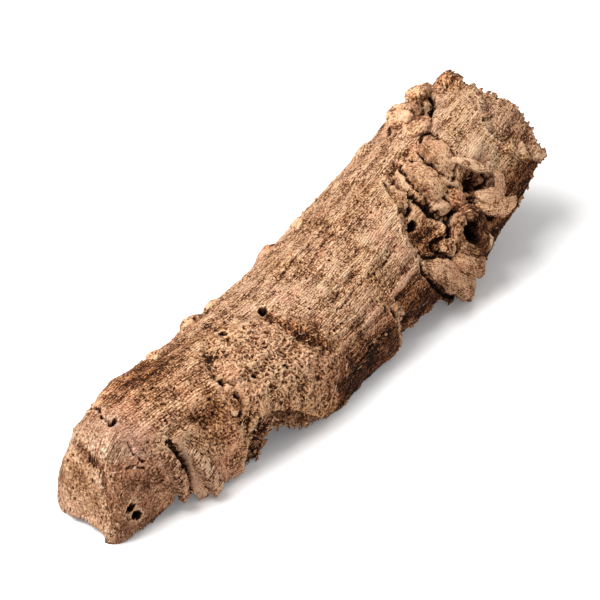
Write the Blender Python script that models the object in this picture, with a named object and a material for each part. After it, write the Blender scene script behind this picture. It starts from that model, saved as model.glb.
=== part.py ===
"""Cork bark slab: half of a hollow cork branch, one piece, lying with its arch up.

The slab is one thick sheet of bark. Its outer and inner skins are grids of points that
share one set of profiles: at each place along the slab, the arch's centre, half width,
crown height and the heights of its two lower edges. Relief is added square to the arch,
at places given as (along, angle): millimetres along the slab, and degrees round the arch
from its crown, with the near side negative. Sizes are in millimetres until the mesh is
made, and each solid is built where it lies.
"""
import bmesh
import bpy
import numpy as np
from mathutils import Vector

NAME = "cork_bark_slab"
MM = 0.001

# The arch: along, centre, half width, crown, near edge, far edge.
ARCH = np.array([
    (-10, 5, 25, 46, 0.0, 0.0),
    (20, 6, 28, 52, 4.0, 3.0),
    (50, 3, 35, 54, 6.0, 5.0),
    (100, 0, 42, 53, 5.0, 6.0),
    (150, -2, 45, 52, 3.0, 6.0),
    (200, -2, 46, 56, 5.0, 7.0),
    (250, -1, 46, 64, 10.0, 8.0),
    (300, 0, 46, 73, 7.0, 6.0),
    (340, 0, 47, 79, 10.0, 0.0),
    (395, 0, 50, 81, 8.0, 4.0)])
RISE = 0.24                     # widest level of the arch, as a share of its crown height
WALL, EDGE_WALL = 10.5, 7.5     # bark thickness, and at the worn lower edges
NOSE, SHOULDER = -10.0, 14.0    # the left end rounds down to the floor between these
SKEW = 10.0                     # how much later the far side of the left end starts
ROUNDNESS = 2.6                 # 2 is an elliptical left end, more is a blunter one
NOSE_WIDTH, NOSE_HEIGHT = 0.62, 0.10   # what is left of the arch at the very nose
MITRE = 3.0                     # the hollow's left end rounds over a little more length
# The broken right end: angle round the arch, and how far along the slab it reaches.
BREAK = np.array([(-105, 373), (-67, 374), (-45, 369), (-27, 366), (-6, 365), (13, 364),
                  (35, 360), (70, 358), (105, 350.0)])
# Notches and hanging teeth of the two lower edges: along, and height added to the edge.
NEAR_TEETH = np.array([(-10, 0), (-2, 1), (26, 1), (33, 6), (38, -2), (41, 1), (45, -4.5),
                       (56, -1), (69, -3), (84, -4), (98, -4), (112, 3), (125, 0), (140, -1), (170, -1),
                       (204, -1), (216, 2), (242, 3), (256, 2), (272, -8), (288, -6), (302, 1),
                       (312, 4), (322, 11), (345, 19), (362, 28), (376, 39), (395, 50.0)])
FAR_TEETH = np.array([(-10, 0), (30, 0), (46, 5), (60, 0), (118, 1), (128, 6), (140, 1),
                      (165, 3), (205, 1), (220, 7), (236, 2), (290, -1), (330, 0), (395, 0.0)])
FLOOR_CUT = 0.9                 # the feet are worn flat by this much
ORIGIN = (182.55, -3.07)        # middle of the slab, along and across

AROUND = 0.85                   # millimetres round the arch for each degree
ROWS, COLUMNS = 89, 45          # points along and round the outer skin; half the steps inside
CAP_ROWS = 0.08                 # share of the rows spent on the rounded left end
FINE_END = 0.62                 # rows lie closer towards the right end, with its richer relief

# Long ridges: degrees between them, height, wander in degrees, and phase.
RIDGES = [(15.0, 1.0, 6.0, 0.3), (9.4, 0.75, 4.0, 2.1)]
RIDGE_TURN = 150                # the ridges lean by one part in this, along the slab
# Uneven bumps: length along, degrees round, height, and seed.
BUMPS = [(24, 20, 1.1, 7), (10, 9, 0.7, 8)]

# Swellings and hollows: along, angle, length, width, height (negative is a hollow).
SWELLINGS = [
    (-3, 34, 15, 16, 4.0), (-2, -18, 16, 18, 1.6), (50, 42, 24, 16, 3.6),
    (83, 31, 7, 6, 3.2), (125, 42, 7, 6, 3.6), (144, 39, 8, 6, 3.8), (204, 47, 9, 8, 4.2),
    (227, 36, 7, 6, 3.0), (272, 44, 12, 8, 1.8), (299, 36, 12, 9, 3.2), (332, 34, 9, 10, 8.0),
    (350, 31, 7, 8, 7.5), (362, 14, 8, 10, 6.5), (128, -55, 34, 30, 2.6), (60, -20, 24, 24, 1.0),
    (45, -96, 7, 10, 6.0), (37, -98, 4, 9, 3.5), (140, -98, 14, 12, 2.2),
    (148, -38, 16, 12, -1.6), (307, -46, 10, 9, -7.5), (275, -39, 5, 6, -5.0),
    (297, -73, 15, 13, 3.5), (283, -64, 8, 7, -4.5), (262, -52, 12, 14, -2.2),
    (311, -70, 5, 4, -4.0), (104, -40, 6, 5, -1.4), (318, -36, 9, 5, 2.4),
    (70, 72, 20, 14, 2.4), (180, 80, 30, 12, 2.8), (320, 78, 22, 16, 3.4), (250, 96, 12, 10, -2.0)]
SWELL_EDGE = 1.4                # how quickly a swelling falls off past its length and width

# Cracks and furrows: half width, depth, and the (along, angle) points that they run through.
CRACKS = [
    (2.6, 1.5, [(6, 23), (3, 5), (2, -8), (-2, -26), (-4, -38), (-7, -59)]),
    (2.0, 1.6, [(30, 37), (18, -6)]),
    (2.2, 1.8, [(15, -31), (14, -43), (17, -53)]),
    (2.6, 3.4, [(36, -54), (39, -64), (40, -75), (40, -100)]),
    (3.6, 2.2, [(93, -6), (82, -25), (84, -46), (78, -57), (80, -76)]),
    (2.4, 2.4, [(82, -25), (84, -46)]),
    (2.6, 3.6, [(273, -4), (271, -22), (274, -30), (276, -44), (281, -52), (295, -58)]),
    (2.2, 4.0, [(297, -13), (291, -30)]),
    (1.9, 2.4, [(304, -13), (299, -26)]),
    (2.4, 3.5, [(321, 2), (337, 5), (345, 21), (341, 30)]),
    (2.2, 2.6, [(207, -66), (212, -82), (214, -96)]),
    (4.5, 2.8, [(84, -86), (92, -76), (106, -72), (119, -82), (137, -97)]),
    (2.0, 1.4, [(170, -80), (196, -76)]),
    (2.6, 2.6, [(96, 60), (110, 74), (108, 98)]),
    (2.4, 2.2, [(238, 62), (262, 70), (270, 92)])]

# Broken plate edges: the points that each runs through, how far the bark drops past it,
# and over what length along the slab the drop fades out again.
LEDGES = [
    ([(273, -2), (268, -8), (255, -25), (249, -33), (244, -43), (245, -54), (248, -66)], 3.6, 44),
    ([(362, -10), (349, -23), (343, -32), (352, -53)], 2.2, 40),
    ([(213, -66), (212, -80), (214, -104)], 2.4, 34),
    ([(236, 58), (228, 74), (234, 96)], 2.2, 40)]
LEDGE_STEP, LEDGE_END = 2.4, 9.0    # length of the step itself, and degrees to its ends

# Holes bored by insects: along, angle, radius, and how deep they go.
THROUGH = 20
HOLES = [(18, -6, 2.3, THROUGH), (1.5, -75, 2.2, THROUGH), (2.5, -88, 1.9, THROUGH),
         (82, -31, 1.9, 7), (115, 2, 2.7, 8), (79, -55, 2.3, 8), (144, -3, 2.1, THROUGH),
         (259, -39, 2.5, THROUGH), (276, -42, 3.0, 9), (293, -25, 1.8, 8)]
# The bite in the near edge, as overlapping rounds: place, radius, and depth of the cut.
BITE = [((105, -88), 11.5, 22), ((104, -106), 10.0, 22), ((91, -92), 9.5, 4.5)]

# The ring knot: place, radius of its collar and of its hollow heart, and its height.
KNOT, KNOT_COLLAR, KNOT_HEART, KNOT_HEIGHT = (297, -73), 10.3, 3.2, 4.2
# The curled tongue: (along, angle) down its middle, half width and lift there, and thickness.
TONGUE = [((305, -57), 3.6, 3.4), ((308, -62), 6.0, 5.8), ((315, -67), 7.4, 7.0),
          ((323, -70), 6.6, 6.0), ((331, -72), 5.2, 4.2), ((338, -73), 2.8, 1.8)]
TONGUE_WALL = 2.6
# The hanging plate at the near edge, outlined along and up, with its face and back across.
FLAP = [(239, 45), (257, 41), (270, 28), (286, 26), (295, 14), (299, 4), (287, -1), (270, 2),
        (254, 14), (240, 29)]
FLAP_FACE, FLAP_BACK, FLAP_ROUND = -55.5, -42.0, 3.0
ROOT = 4.0                      # how far a knot, tongue or plate is sunk into the bark


def clear_scene():
    for item in list(bpy.data.objects):
        bpy.data.objects.remove(item, do_unlink=True)


def curve(x, table, column=1):
    """A smooth curve through a table's points, with slopes averaged from its neighbours."""
    xs, ys = table[:, 0], table[:, column]
    step = np.diff(xs)
    rate = np.diff(ys) / step
    middle = (step[1:] * rate[:-1] + step[:-1] * rate[1:]) / (step[1:] + step[:-1])
    slope = np.concatenate([rate[:1], middle, rate[-1:]])
    x = np.clip(x, xs[0], xs[-1])
    i = np.clip(np.searchsorted(xs, x, side="right") - 1, 0, len(step) - 1)
    t = (x - xs[i]) / step[i]
    return ((2 * t**3 - 3 * t**2 + 1) * ys[i] + (t**3 - 2 * t**2 + t) * step[i] * slope[i]
            + (3 * t**2 - 2 * t**3) * ys[i + 1] + (t**3 - t**2) * step[i] * slope[i + 1])


def smooth(t):
    """0 below 0, 1 above 1, and an S between."""
    t = np.clip(t, 0, 1)
    return t * t * (3 - 2 * t)


def noise(x, y, seed):
    """Seeded gradient noise on whole arrays, about -1 to 1, one cell for each unit."""
    turn = np.random.default_rng(seed).uniform(0, 2 * np.pi, (64, 64))
    i, j = np.floor(x).astype(int), np.floor(y).astype(int)
    fx, fy = x - i, y - j
    corner = {}
    for di in (0, 1):
        for dj in (0, 1):
            angle = turn[(i + di) % 64, (j + dj) % 64]
            corner[di, dj] = np.cos(angle) * (fx - di) + np.sin(angle) * (fy - dj)
    sx, sy = smooth(fx), smooth(fy)
    low = corner[0, 0] * (1 - sx) + corner[1, 0] * sx
    high = corner[0, 1] * (1 - sx) + corner[1, 1] * sx
    return 1.5 * (low * (1 - sy) + high * sy)


def line_distance(x, angle, points):
    """Distance in millimetres, over the bark, from each place to a line through points."""
    best = np.full(np.shape(x), np.inf)
    for (x0, a0), (x1, a1) in zip(points[:-1], points[1:]):
        dx, dw = x1 - x0, (a1 - a0) * AROUND
        px, pw = x - x0, (angle - a0) * AROUND
        t = np.clip((px * dx + pw * dw) / (dx * dx + dw * dw), 0, 1)
        best = np.minimum(best, np.hypot(px - t * dx, pw - t * dw))
    return best


def ledge_drop(x, angle, points, drop, length):
    """Bark past a broken plate edge lies lower: a short step, fading out along the slab."""
    table = np.array(sorted((a, along) for along, a in points), float)
    past = x - curve(angle, table)
    first, last = table[0, 0], table[-1, 0]
    ends = smooth((angle - first) / LEDGE_END + 1) * smooth((last - angle) / LEDGE_END + 1)
    return -drop * smooth(past / LEDGE_STEP + 0.5) * (1 - smooth(past / length)) * ends


def relief(x, angle):
    """Height of the outer skin over its smooth arch: ridges that fade in and out, bumps,
    and then the swellings, cracks and ledges, each at its own place."""
    wander = noise(x / 70, angle / 40, 11)
    height = np.zeros(np.shape(x))
    for pitch, size, drift, phase in RIDGES:
        turn = 2 * np.pi * (angle + drift * wander) / pitch
        height += size * np.cos(turn + phase + x / RIDGE_TURN)
    height *= 0.6 + 0.6 * noise(x / 55, angle / 22, 5)
    for length, width, size, seed in BUMPS:
        height += size * noise(x / length, angle / width, seed)
    for along, middle, length, width, size in SWELLINGS:
        far = ((x - along) / length) ** 2 + ((angle - middle) / width) ** 2
        height += size * np.exp(-SWELL_EDGE * far)
    for width, depth, points in CRACKS:
        height -= depth * np.exp(-(line_distance(x, angle, points) / width) ** 2)
    for points, drop, length in LEDGES:
        height += ledge_drop(x, angle, points, drop, length)
    return height


def cap_share(x, v, nose, shoulder):
    """1 along the slab, falling round to 0 at the nose of the closed left end."""
    t = np.clip((shoulder + SKEW * v - x) / (shoulder - nose), 0, 1)
    return np.sqrt(1 - t ** ROUNDNESS)


def arch(x, v, share, inset):
    """Points of the arch at x, with v from 0 at the near edge to 1 at the far edge.

    The arch is an ellipse whose widest level is RISE of its crown height. It runs a little
    past that level on both sides, down to the two lower edges. Share shrinks it towards the
    floor at the left end, and inset is the bark's thickness on the hollow side."""
    centre, half, crown, near, far = (curve(x, ARCH, k) for k in range(1, 6))
    near = np.maximum(near + curve(x, NEAR_TEETH), 0) * share
    far = np.maximum(far + curve(x, FAR_TEETH), 0) * share
    crown = crown * (NOSE_HEIGHT + (1 - NOSE_HEIGHT) * share)
    half = half * (NOSE_WIDTH + (1 - NOSE_WIDTH) * share ** 0.7)
    level = RISE * crown
    tall = crown - level
    start = -np.arccos(np.clip((near - level) / tall, -0.98, 0.98))
    stop = np.arccos(np.clip((far - level) / tall, -0.98, 0.98))
    theta = start + (stop - start) * v
    across = np.maximum(half - inset, 0.3 * half) * np.sin(theta)
    up = np.maximum(tall - inset, 0.3 * tall) * np.cos(theta)
    normal = np.stack([np.zeros_like(x), np.sin(theta) * tall, np.cos(theta) * half], -1)
    normal /= np.linalg.norm(normal, axis=-1, keepdims=True)
    lean = (1 - share)[..., None]
    normal = normal * (1 - lean) + np.array([-1.0, 0, 0.15]) * lean
    normal /= np.linalg.norm(normal, axis=-1, keepdims=True)
    return np.stack([x, centre + across, level + up], -1), normal, np.degrees(theta)


def skin_grid(rows, columns, nose, shoulder):
    """Places along the slab and round the arch for a grid of rows and columns."""
    u = np.linspace(0, 1, rows)[:, None] + np.zeros((1, columns))
    v = np.linspace(0, 1, columns)[None, :] + np.zeros((rows, 1))
    start = shoulder + SKEW * v
    cap = start - (shoulder - nose) * np.cos(np.clip(u / CAP_ROWS, 0, 1) * np.pi / 2)
    t = np.clip((u - CAP_ROWS) / (1 - CAP_ROWS), 0, 1)
    end = curve(-105 + 210 * v, BREAK)
    run = start + (end - start) * (t + (1 - FINE_END) * t * (1 - t))
    return np.where(u < CAP_ROWS, cap, run), v


def outer_skin():
    x, v = skin_grid(ROWS, COLUMNS, NOSE, SHOULDER)
    share = cap_share(x, v, NOSE, SHOULDER)
    points, normal, angle = arch(x, v, share, 0)
    fade = 0.15 + 0.85 * smooth(1.6 * share - 0.6)
    return points + normal * (relief(x, angle) * fade)[..., None]


def inner_skin():
    """The hollow side: smoother, with long shallow flutes, and thinner at the lower edges."""
    nose, shoulder = NOSE + WALL, SHOULDER + MITRE
    x, v = skin_grid((ROWS + 1) // 2, (COLUMNS + 1) // 2, nose, shoulder)
    share = cap_share(x, v, nose, shoulder)
    edge = np.abs(2 * v - 1) ** 4
    wall = WALL + (EDGE_WALL - WALL) * edge + noise(x / 40, v * 6, 21)
    points, normal, angle = arch(x, v, share, wall)
    flutes = 0.6 * np.cos(np.radians(angle) * 14 + 1.5 * noise(x / 90, v * 3, 22))
    echo = np.clip(0.5 * relief(x, angle), -2, 2)
    return points + normal * ((echo + flutes) * share)[..., None]


def skin_faces(rows, columns, first, inside):
    """Triangles of a grid of points; the diagonal turns from cell to cell."""
    faces = []
    for i in range(rows - 1):
        for j in range(columns - 1):
            a = first + i * columns + j
            b, c, d = a + 1, a + columns + 1, a + columns
            pair = [(a, c, b), (a, d, c)] if (i + j) % 2 else [(a, d, b), (b, d, c)]
            faces += [t[::-1] for t in pair] if inside else pair
    return faces


def border(rows, columns, first):
    """Indices round a grid's border, once round."""
    top = [first + j for j in range(columns)]
    right = [first + i * columns + columns - 1 for i in range(1, rows)]
    bottom = [first + (rows - 1) * columns + j for j in range(columns - 2, -1, -1)]
    left = [first + i * columns for i in range(rows - 2, 0, -1)]
    return top + right + bottom + left


def shell_mesh():
    """The closed sheet of bark: outer skin, inner skin and the broken edge between them."""
    outer, inner = outer_skin(), inner_skin()
    (rows, columns), (rows_in, columns_in) = outer.shape[:2], inner.shape[:2]
    count = rows * columns
    points = np.concatenate([outer.reshape(-1, 3), inner.reshape(-1, 3)])
    faces = skin_faces(rows, columns, 0, False) + skin_faces(rows_in, columns_in, count, True)
    ring = border(rows, columns, 0)
    ring_in = border(rows_in, columns_in, count)
    for k in range(len(ring_in)):
        a, b = ring_in[k], ring_in[(k + 1) % len(ring_in)]
        p, q, r = ring[2 * k], ring[2 * k + 1], ring[(2 * k + 2) % len(ring)]
        faces += [(p, q, a), (q, b, a), (q, r, b)]
    return points, faces


def new_object(name, points, faces):
    """A mesh object from points in millimetres, moved so that the slab's middle is at 0."""
    mesh = bpy.data.meshes.new(name)
    shifted = (np.asarray(points) - np.array([*ORIGIN, FLOOR_CUT])) * MM
    mesh.from_pydata(shifted.tolist(), [], faces)
    mesh.update()
    thing = bpy.data.objects.new(name, mesh)
    bpy.context.collection.objects.link(thing)
    return thing


def place_on_bark(along, angle):
    """A point of the outer skin and its outward normal."""
    x = np.array([[float(along)]])
    whole = np.ones_like(x)
    low = arch(x, np.array([[0.0]]), whole, 0)[2]
    high = arch(x, np.array([[1.0]]), whole, 0)[2]
    points, normal, found = arch(x, (angle - low) / (high - low), whole, 0)
    lifted = points + normal * relief(x, found)[..., None]
    return Vector(lifted[0, 0]), Vector(normal[0, 0])


def band_faces(rings, count):
    """Faces of a closed solid made of rings of points, with its two ends filled."""
    faces = [tuple(range(count)), tuple(range(rings * count - 1, (rings - 1) * count - 1, -1))]
    for i in range(rings - 1):
        for k in range(count):
            a, b = i * count + k, i * count + (k + 1) % count
            faces.append((a, a + count, b + count, b))
    return faces


def turned(centre, axis, profile, sides, wobble, seed):
    """A closed turned solid: (level, radius) pairs along an axis, with an uneven outline."""
    side = axis.cross(Vector((1, 0, 0))).normalized()
    other = axis.cross(side).normalized()
    rough = np.random.default_rng(seed).uniform(1 - wobble, 1 + wobble, sides)
    points = []
    for level, radius in profile:
        for k in range(sides):
            turn = 2 * np.pi * k / sides
            out = side * np.cos(turn) + other * np.sin(turn)
            points.append(centre + axis * level + out * radius * rough[k])
    return points, band_faces(len(profile), sides)


def outward(thing):
    """Faces of a closed solid turned outwards."""
    work = bmesh.new()
    work.from_mesh(thing.data)
    bmesh.ops.recalc_face_normals(work, faces=work.faces)
    work.to_mesh(thing.data)
    work.free()


def combine(target, name, solid, operation):
    """Boolean of the target by a solid of points and faces, applied, with the solid removed."""
    tool = new_object(name, *solid)
    outward(tool)
    step = target.modifiers.new(name, "BOOLEAN")
    step.operation = operation
    step.solver = "EXACT"
    step.object = tool
    shape = target.evaluated_get(bpy.context.evaluated_depsgraph_get())
    result = bpy.data.meshes.new_from_object(shape)
    target.modifiers.remove(step)
    old = target.data
    target.data = result
    bpy.data.meshes.remove(old)
    bpy.data.objects.remove(tool, do_unlink=True)


def cut_holes(slab):
    """The insects' holes, square to the bark, slightly wider at their mouths."""
    for number, (along, angle, radius, depth) in enumerate(HOLES):
        centre, normal = place_on_bark(along, angle)
        profile = [(6.0, radius * 1.6), (0.0, radius * 1.25), (-2.5, radius), (-depth, radius * 0.8)]
        solid = turned(centre, normal, profile, 9, 0.12, 50 + number)
        combine(slab, "hole", solid, "DIFFERENCE")


def cut_bite(slab):
    """The bite in the near edge: rounds cut through the wall, and a shallow one that leaves
    the inner layer standing."""
    for number, (place, radius, depth) in enumerate(BITE):
        centre, normal = place_on_bark(*place)
        profile = [(14.0, radius * 1.05), (-depth, radius)]
        combine(slab, "bite", turned(centre, normal, profile, 17, 0.16, 41 + number), "DIFFERENCE")


def add_knot(slab):
    """The ring knot: the stub of a side branch, with a raised collar and a hollow heart."""
    centre, normal = place_on_bark(*KNOT)
    axis = (normal + Vector((0.15, 0, 0.2))).normalized()
    collar = [(-ROOT - 2, 0.8), (0.0, 1.0), (0.55 * KNOT_HEIGHT, 1.05), (0.9 * KNOT_HEIGHT, 0.88),
              (KNOT_HEIGHT, 0.6)]
    profile = [(level, share * KNOT_COLLAR) for level, share in collar]
    combine(slab, "knot", turned(centre, axis, profile, 15, 0.13, 31), "UNION")
    heart = [(KNOT_HEIGHT + 3, 1.6), (KNOT_HEIGHT - 0.7, 1.15), (-4.5, 0.8)]
    profile = [(level, share * KNOT_HEART) for level, share in heart]
    combine(slab, "heart", turned(centre, axis, profile, 10, 0.1, 32), "DIFFERENCE")


def add_tongue(slab):
    """The curled tongue over the hollow: a bent plate, rooted below and free along its top."""
    points = []
    for place, half, lift in TONGUE:
        centre, normal = place_on_bark(*place)
        side = normal.cross(Vector((1, 0, 0))).normalized()
        top, face = 1.25 * lift, TONGUE_WALL / 2
        section = [(-1, 0.4 * lift + face), (-0.2, lift + face), (1, top + face),
                   (1, top - TONGUE_WALL), (-0.2, -ROOT), (-1, -ROOT)]
        points += [centre + side * half * across + normal * high for across, high in section]
    combine(slab, "tongue", (points, band_faces(len(TONGUE), 6)), "UNION")


def add_flap(slab):
    """The plate of bark that hangs over the near edge, down to the floor: the near foot.
    It is three rings of one outline: a smaller face, the full outline, and a sunk back."""
    middle = np.mean(FLAP, 0)
    points = []
    for share, across in ((0.55, FLAP_FACE), (1.0, FLAP_FACE + FLAP_ROUND), (0.9, FLAP_BACK)):
        ring = middle + (np.array(FLAP) - middle) * share
        points += [Vector((x, across, z)) for x, z in ring]
    combine(slab, "flap", (points, band_faces(3, len(FLAP))), "UNION")


def cut_feet(slab):
    """A level cut: what would reach below the floor is worn flat."""
    corners = [(x, y, z) for x in (-40, 420) for y in (-90, 90) for z in (-30, FLOOR_CUT)]
    faces = [(0, 1, 3, 2), (4, 6, 7, 5), (0, 4, 5, 1), (2, 3, 7, 6), (0, 2, 6, 4), (1, 5, 7, 3)]
    combine(slab, "floor", (corners, faces), "DIFFERENCE")


def drop_crumbs(slab):
    """Only the one large piece stays: loose crumbs and specks of trapped air are removed."""
    work = bmesh.new()
    work.from_mesh(slab.data)
    left, pieces = set(work.verts), []
    while left:
        piece, reached = set(), [next(iter(left))]
        while reached:
            vert = reached.pop()
            if vert in left:
                left.remove(vert)
                piece.add(vert)
                reached += [edge.other_vert(vert) for edge in vert.link_edges]
        pieces.append(piece)
    largest = max(pieces, key=len)
    bmesh.ops.delete(work, geom=[v for v in work.verts if v not in largest], context="VERTS")
    work.to_mesh(slab.data)
    work.free()


def bark_material():
    """Dry bark: reddish tan, quite matt."""
    material = bpy.data.materials.new("bark")
    material.use_nodes = True
    shader = material.node_tree.nodes["Principled BSDF"]
    shader.inputs["Base Color"].default_value = (0.36, 0.21, 0.125, 1)
    shader.inputs["Roughness"].default_value = 0.9
    shader.inputs["Metallic"].default_value = 0.0
    return material


def build():
    clear_scene()
    slab = new_object(NAME, *shell_mesh())
    add_flap(slab)
    add_knot(slab)
    add_tongue(slab)
    cut_holes(slab)
    cut_bite(slab)
    cut_feet(slab)
    drop_crumbs(slab)
    slab.data.materials.clear()
    slab.data.materials.append(bark_material())
    slab.data.shade_flat()


build()
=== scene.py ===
"""Cork bark slab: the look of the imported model.

The slab is half of a hollow cork branch. Its bark is worked out on one grid that runs
along it and round its arch, with the same profiles as the solid, and relief is added
square to the arch: first the large forms, each at its own place, then the grain. Places
on the bark are (along, angle): millimetres along the slab, and degrees round the arch
from its crown, with the near side negative. Lengths are millimetres until a mesh is made.
"""

import bpy
import numpy as np
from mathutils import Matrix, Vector

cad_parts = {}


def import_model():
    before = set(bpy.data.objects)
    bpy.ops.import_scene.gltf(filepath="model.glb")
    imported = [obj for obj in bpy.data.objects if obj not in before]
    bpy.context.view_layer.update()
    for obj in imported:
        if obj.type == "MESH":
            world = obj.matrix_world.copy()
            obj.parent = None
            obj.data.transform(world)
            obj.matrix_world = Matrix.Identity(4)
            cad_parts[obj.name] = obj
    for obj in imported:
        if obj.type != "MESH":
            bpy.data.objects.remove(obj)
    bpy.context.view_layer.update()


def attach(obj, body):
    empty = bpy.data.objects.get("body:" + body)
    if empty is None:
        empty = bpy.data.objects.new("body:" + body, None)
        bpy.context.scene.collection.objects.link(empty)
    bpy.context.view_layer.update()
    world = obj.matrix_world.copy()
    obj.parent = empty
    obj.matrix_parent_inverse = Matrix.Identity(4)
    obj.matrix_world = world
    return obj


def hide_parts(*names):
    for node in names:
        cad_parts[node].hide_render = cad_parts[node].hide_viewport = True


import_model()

MM = 0.001
NODE = "cork_bark_slab"
LOOKS = ("grain", "tone", "kind")       # what the material reads at each point of the bark
AROUND = 0.85                   # millimetres round the arch for a degree
LENGTHWISE = np.array([1.0, 0, 0])
KNOT = (289.0, -69.0)           # where the ring knot sits


def circle(place, radius):
    """Places round a circle on the bark."""
    turn = np.linspace(0, 2 * np.pi, 17)
    return list(zip(place[0] + radius * np.cos(turn), place[1] + radius * np.sin(turn) / AROUND))


# Profiles of the slab, as in the solid. The arch: along, centre, half width, crown, near
# edge and far edge.
ARCH = np.array([
    (-10, 5, 25, 46, 0.0, 0.0),
    (20, 6, 28, 52, 4.0, 3.0),
    (50, 3, 35, 54, 6.0, 5.0),
    (100, 0, 42, 53, 5.0, 6.0),
    (150, -2, 45, 52, 3.0, 6.0),
    (200, -2, 46, 56, 5.0, 7.0),
    (250, -1, 46, 64, 10.0, 8.0),
    (300, 0, 46, 73, 7.0, 6.0),
    (340, 0, 47, 79, 10.0, 0.0),
    (395, 0, 50, 81, 8.0, 4.0)])
RISE = 0.24                     # level of the widest place, as a share of the crown's
WALL, EDGE_WALL = 10.5, 7.5     # thickness of the bark at the crown and at its lower edges
NOSE, SHOULDER = -10.0, 14.0    # where the closed end stops, and where it starts to round
SKEW = 10.0                     # how much further along both lie on the far side
ROUNDNESS = 2.6                 # power of the closed end's rounding
NOSE_WIDTH, NOSE_HEIGHT = 0.62, 0.10    # shares of the width and crown left at the nose
MITRE = 3.0                     # how much further along the hollow's shoulder lies
EDGE_ANGLE = 105                # about the angle of the lower edges
STEEPEST = 0.98                 # cosine of the angle past which no edge is drawn
# The broken right end: angle, and how far along it breaks there.
BREAK = np.array([(-105, 373), (-67, 374), (-45, 369), (-27, 366), (-6, 365), (13, 364),
                  (35, 360), (70, 358), (105, 350.0)])
# Teeth of the lower edges: along, and how much higher the edge lies there.
NEAR_TEETH = np.array([(-10, 0), (-2, 1), (26, 1), (33, 6), (38, -2), (41, 1), (45, -4.5),
                       (56, -1), (69, -3), (84, -4), (98, -4), (112, 3), (125, 0), (140, -1),
                       (170, -1), (204, -1), (216, 2), (242, 3), (256, 2), (272, -8), (288, -6),
                       (302, 1), (312, 4), (322, 11), (345, 19), (362, 28), (376, 39), (395, 50.0)])
FAR_TEETH = np.array([(-10, 0), (30, 0), (46, 5), (60, 0), (118, 1), (128, 6), (140, 1),
                      (165, 3), (205, 1), (220, 7), (236, 2), (290, -1), (330, 0), (395, 0.0)])
# The bite in the near edge: along, and how high above the floor the edge climbs there, for
# the outer skin and for the hollow side, whose layers stand out into the opening.
BITE = np.array([(86, -60), (89, 0), (91, 9), (94, 16), (98, 18.5), (103, 17.5), (109, 14),
                 (116, 10), (122, 7), (130, 3), (138, -1), (146, -60.0)])
BITE_INSIDE = np.array([(90, -60), (94, 0), (95.5, 7), (98, 13), (102, 14.5), (107, 12.5),
                        (112, 9), (118, 6), (124, 3), (132, -1), (140, -3), (148, -60.0)])
# Round the bite the outer layer is stripped: along, and the angle that it is gone below.
STRIPPED = np.array([(73, -125), (76, -97), (79, -82), (84, -74), (89, -69), (95, -68), (101, -69.5),
                     (109, -75), (117, -82), (125, -91), (132, -98), (140, -106), (148, -125.0)])
FLOOR_CUT = 0.9                 # the level to which the feet are worn flat, which is the floor
ORIGIN = np.array([182.55, -3.07, FLOOR_CUT])   # the middle of the slab on the floor

# How fine the bark's grid is
SECTIONS = 4                    # lengths that the bark is meshed in
ROWS, COLUMNS = 641, 433        # points along and round the outer skin, over all sections
CAP_SHARE = 0.13                # share of the rows that round the closed end
FINE_END = 0.80                 # spacing of rows at the broken end, as a share of an even one
COARSER = 4                     # the hollow side's grid has one point for so many outside
RIM_ROWS = 5                    # steps across the broken edge
RIM_SHIFT = 2.1                 # how far its grain moves on with each of them
RIM_KIND = np.array([0.0, 1.0, 0.6])    # how much painted shade, how freshly torn and how coarse it is
TILE, SOLID_TILE = 64, 32       # cells after which noise repeats, on the skin and in space

# Large forms, as in the solid but sharper. Ridges: pitch in degrees, height, drift in degrees
# and phase, and the length over which they turn by a radian.
RIDGES = [(15.0, 0.30, 6.0, 0.3), (9.4, 0.22, 4.0, 2.1)]
RIDGE_TURN = 150
# Bumps: length, width in degrees, height, seed.
BUMPS = [(24, 20, 1.1, 7), (10, 9, 0.7, 8)]
# Swellings and dents: along, angle, length, width in degrees, height.
SWELLINGS = [
    (-4, 36, 14, 18, 5.2), (-2, -18, 16, 18, 1.6), (50, 42, 24, 16, 3.6),
    (83, 31, 7, 6, 3.2), (125, 42, 7, 6, 3.6), (144, 39, 8, 6, 3.8), (204, 47, 9, 8, 4.2),
    (227, 36, 7, 6, 3.0), (272, 44, 12, 8, 1.8), (299, 36, 12, 9, 3.2), (326, 27, 10, 12, 4.5),
    (346, 25, 8, 9, 4.5), (362, 14, 8, 10, 4.0), (128, -55, 34, 30, 2.6), (60, -20, 26, 26, 0.3),
    (46, -96, 7, 12, 2.4), (36, -98, 5, 9, 1.6), (140, -98, 14, 12, 2.2),
    (148, -38, 16, 12, -1.6), (312, -50, 10, 9, -7.0), (275, -41, 5, 8, -4.0),
    (*KNOT, 15, 14, 2.5), (262, -50, 14, 15, -2.4), (309, -70, 6, 6, -4.5),
    (104, -40, 6, 5, -1.4), (322, -36, 8, 7, 2.2), (286, -24, 7, 14, 1.6),
    (305, -20, 8, 9, 2.0), (332, -40, 14, 14, 1.2), (369, 13, 11, 13, 4.6),
    (70, 72, 20, 14, 2.4), (180, 80, 30, 12, 2.8), (320, 78, 22, 16, 3.4), (250, 96, 12, 10, -2.0)]
SWELL_EDGE = 1.4                # how steeply a spot falls off
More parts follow.
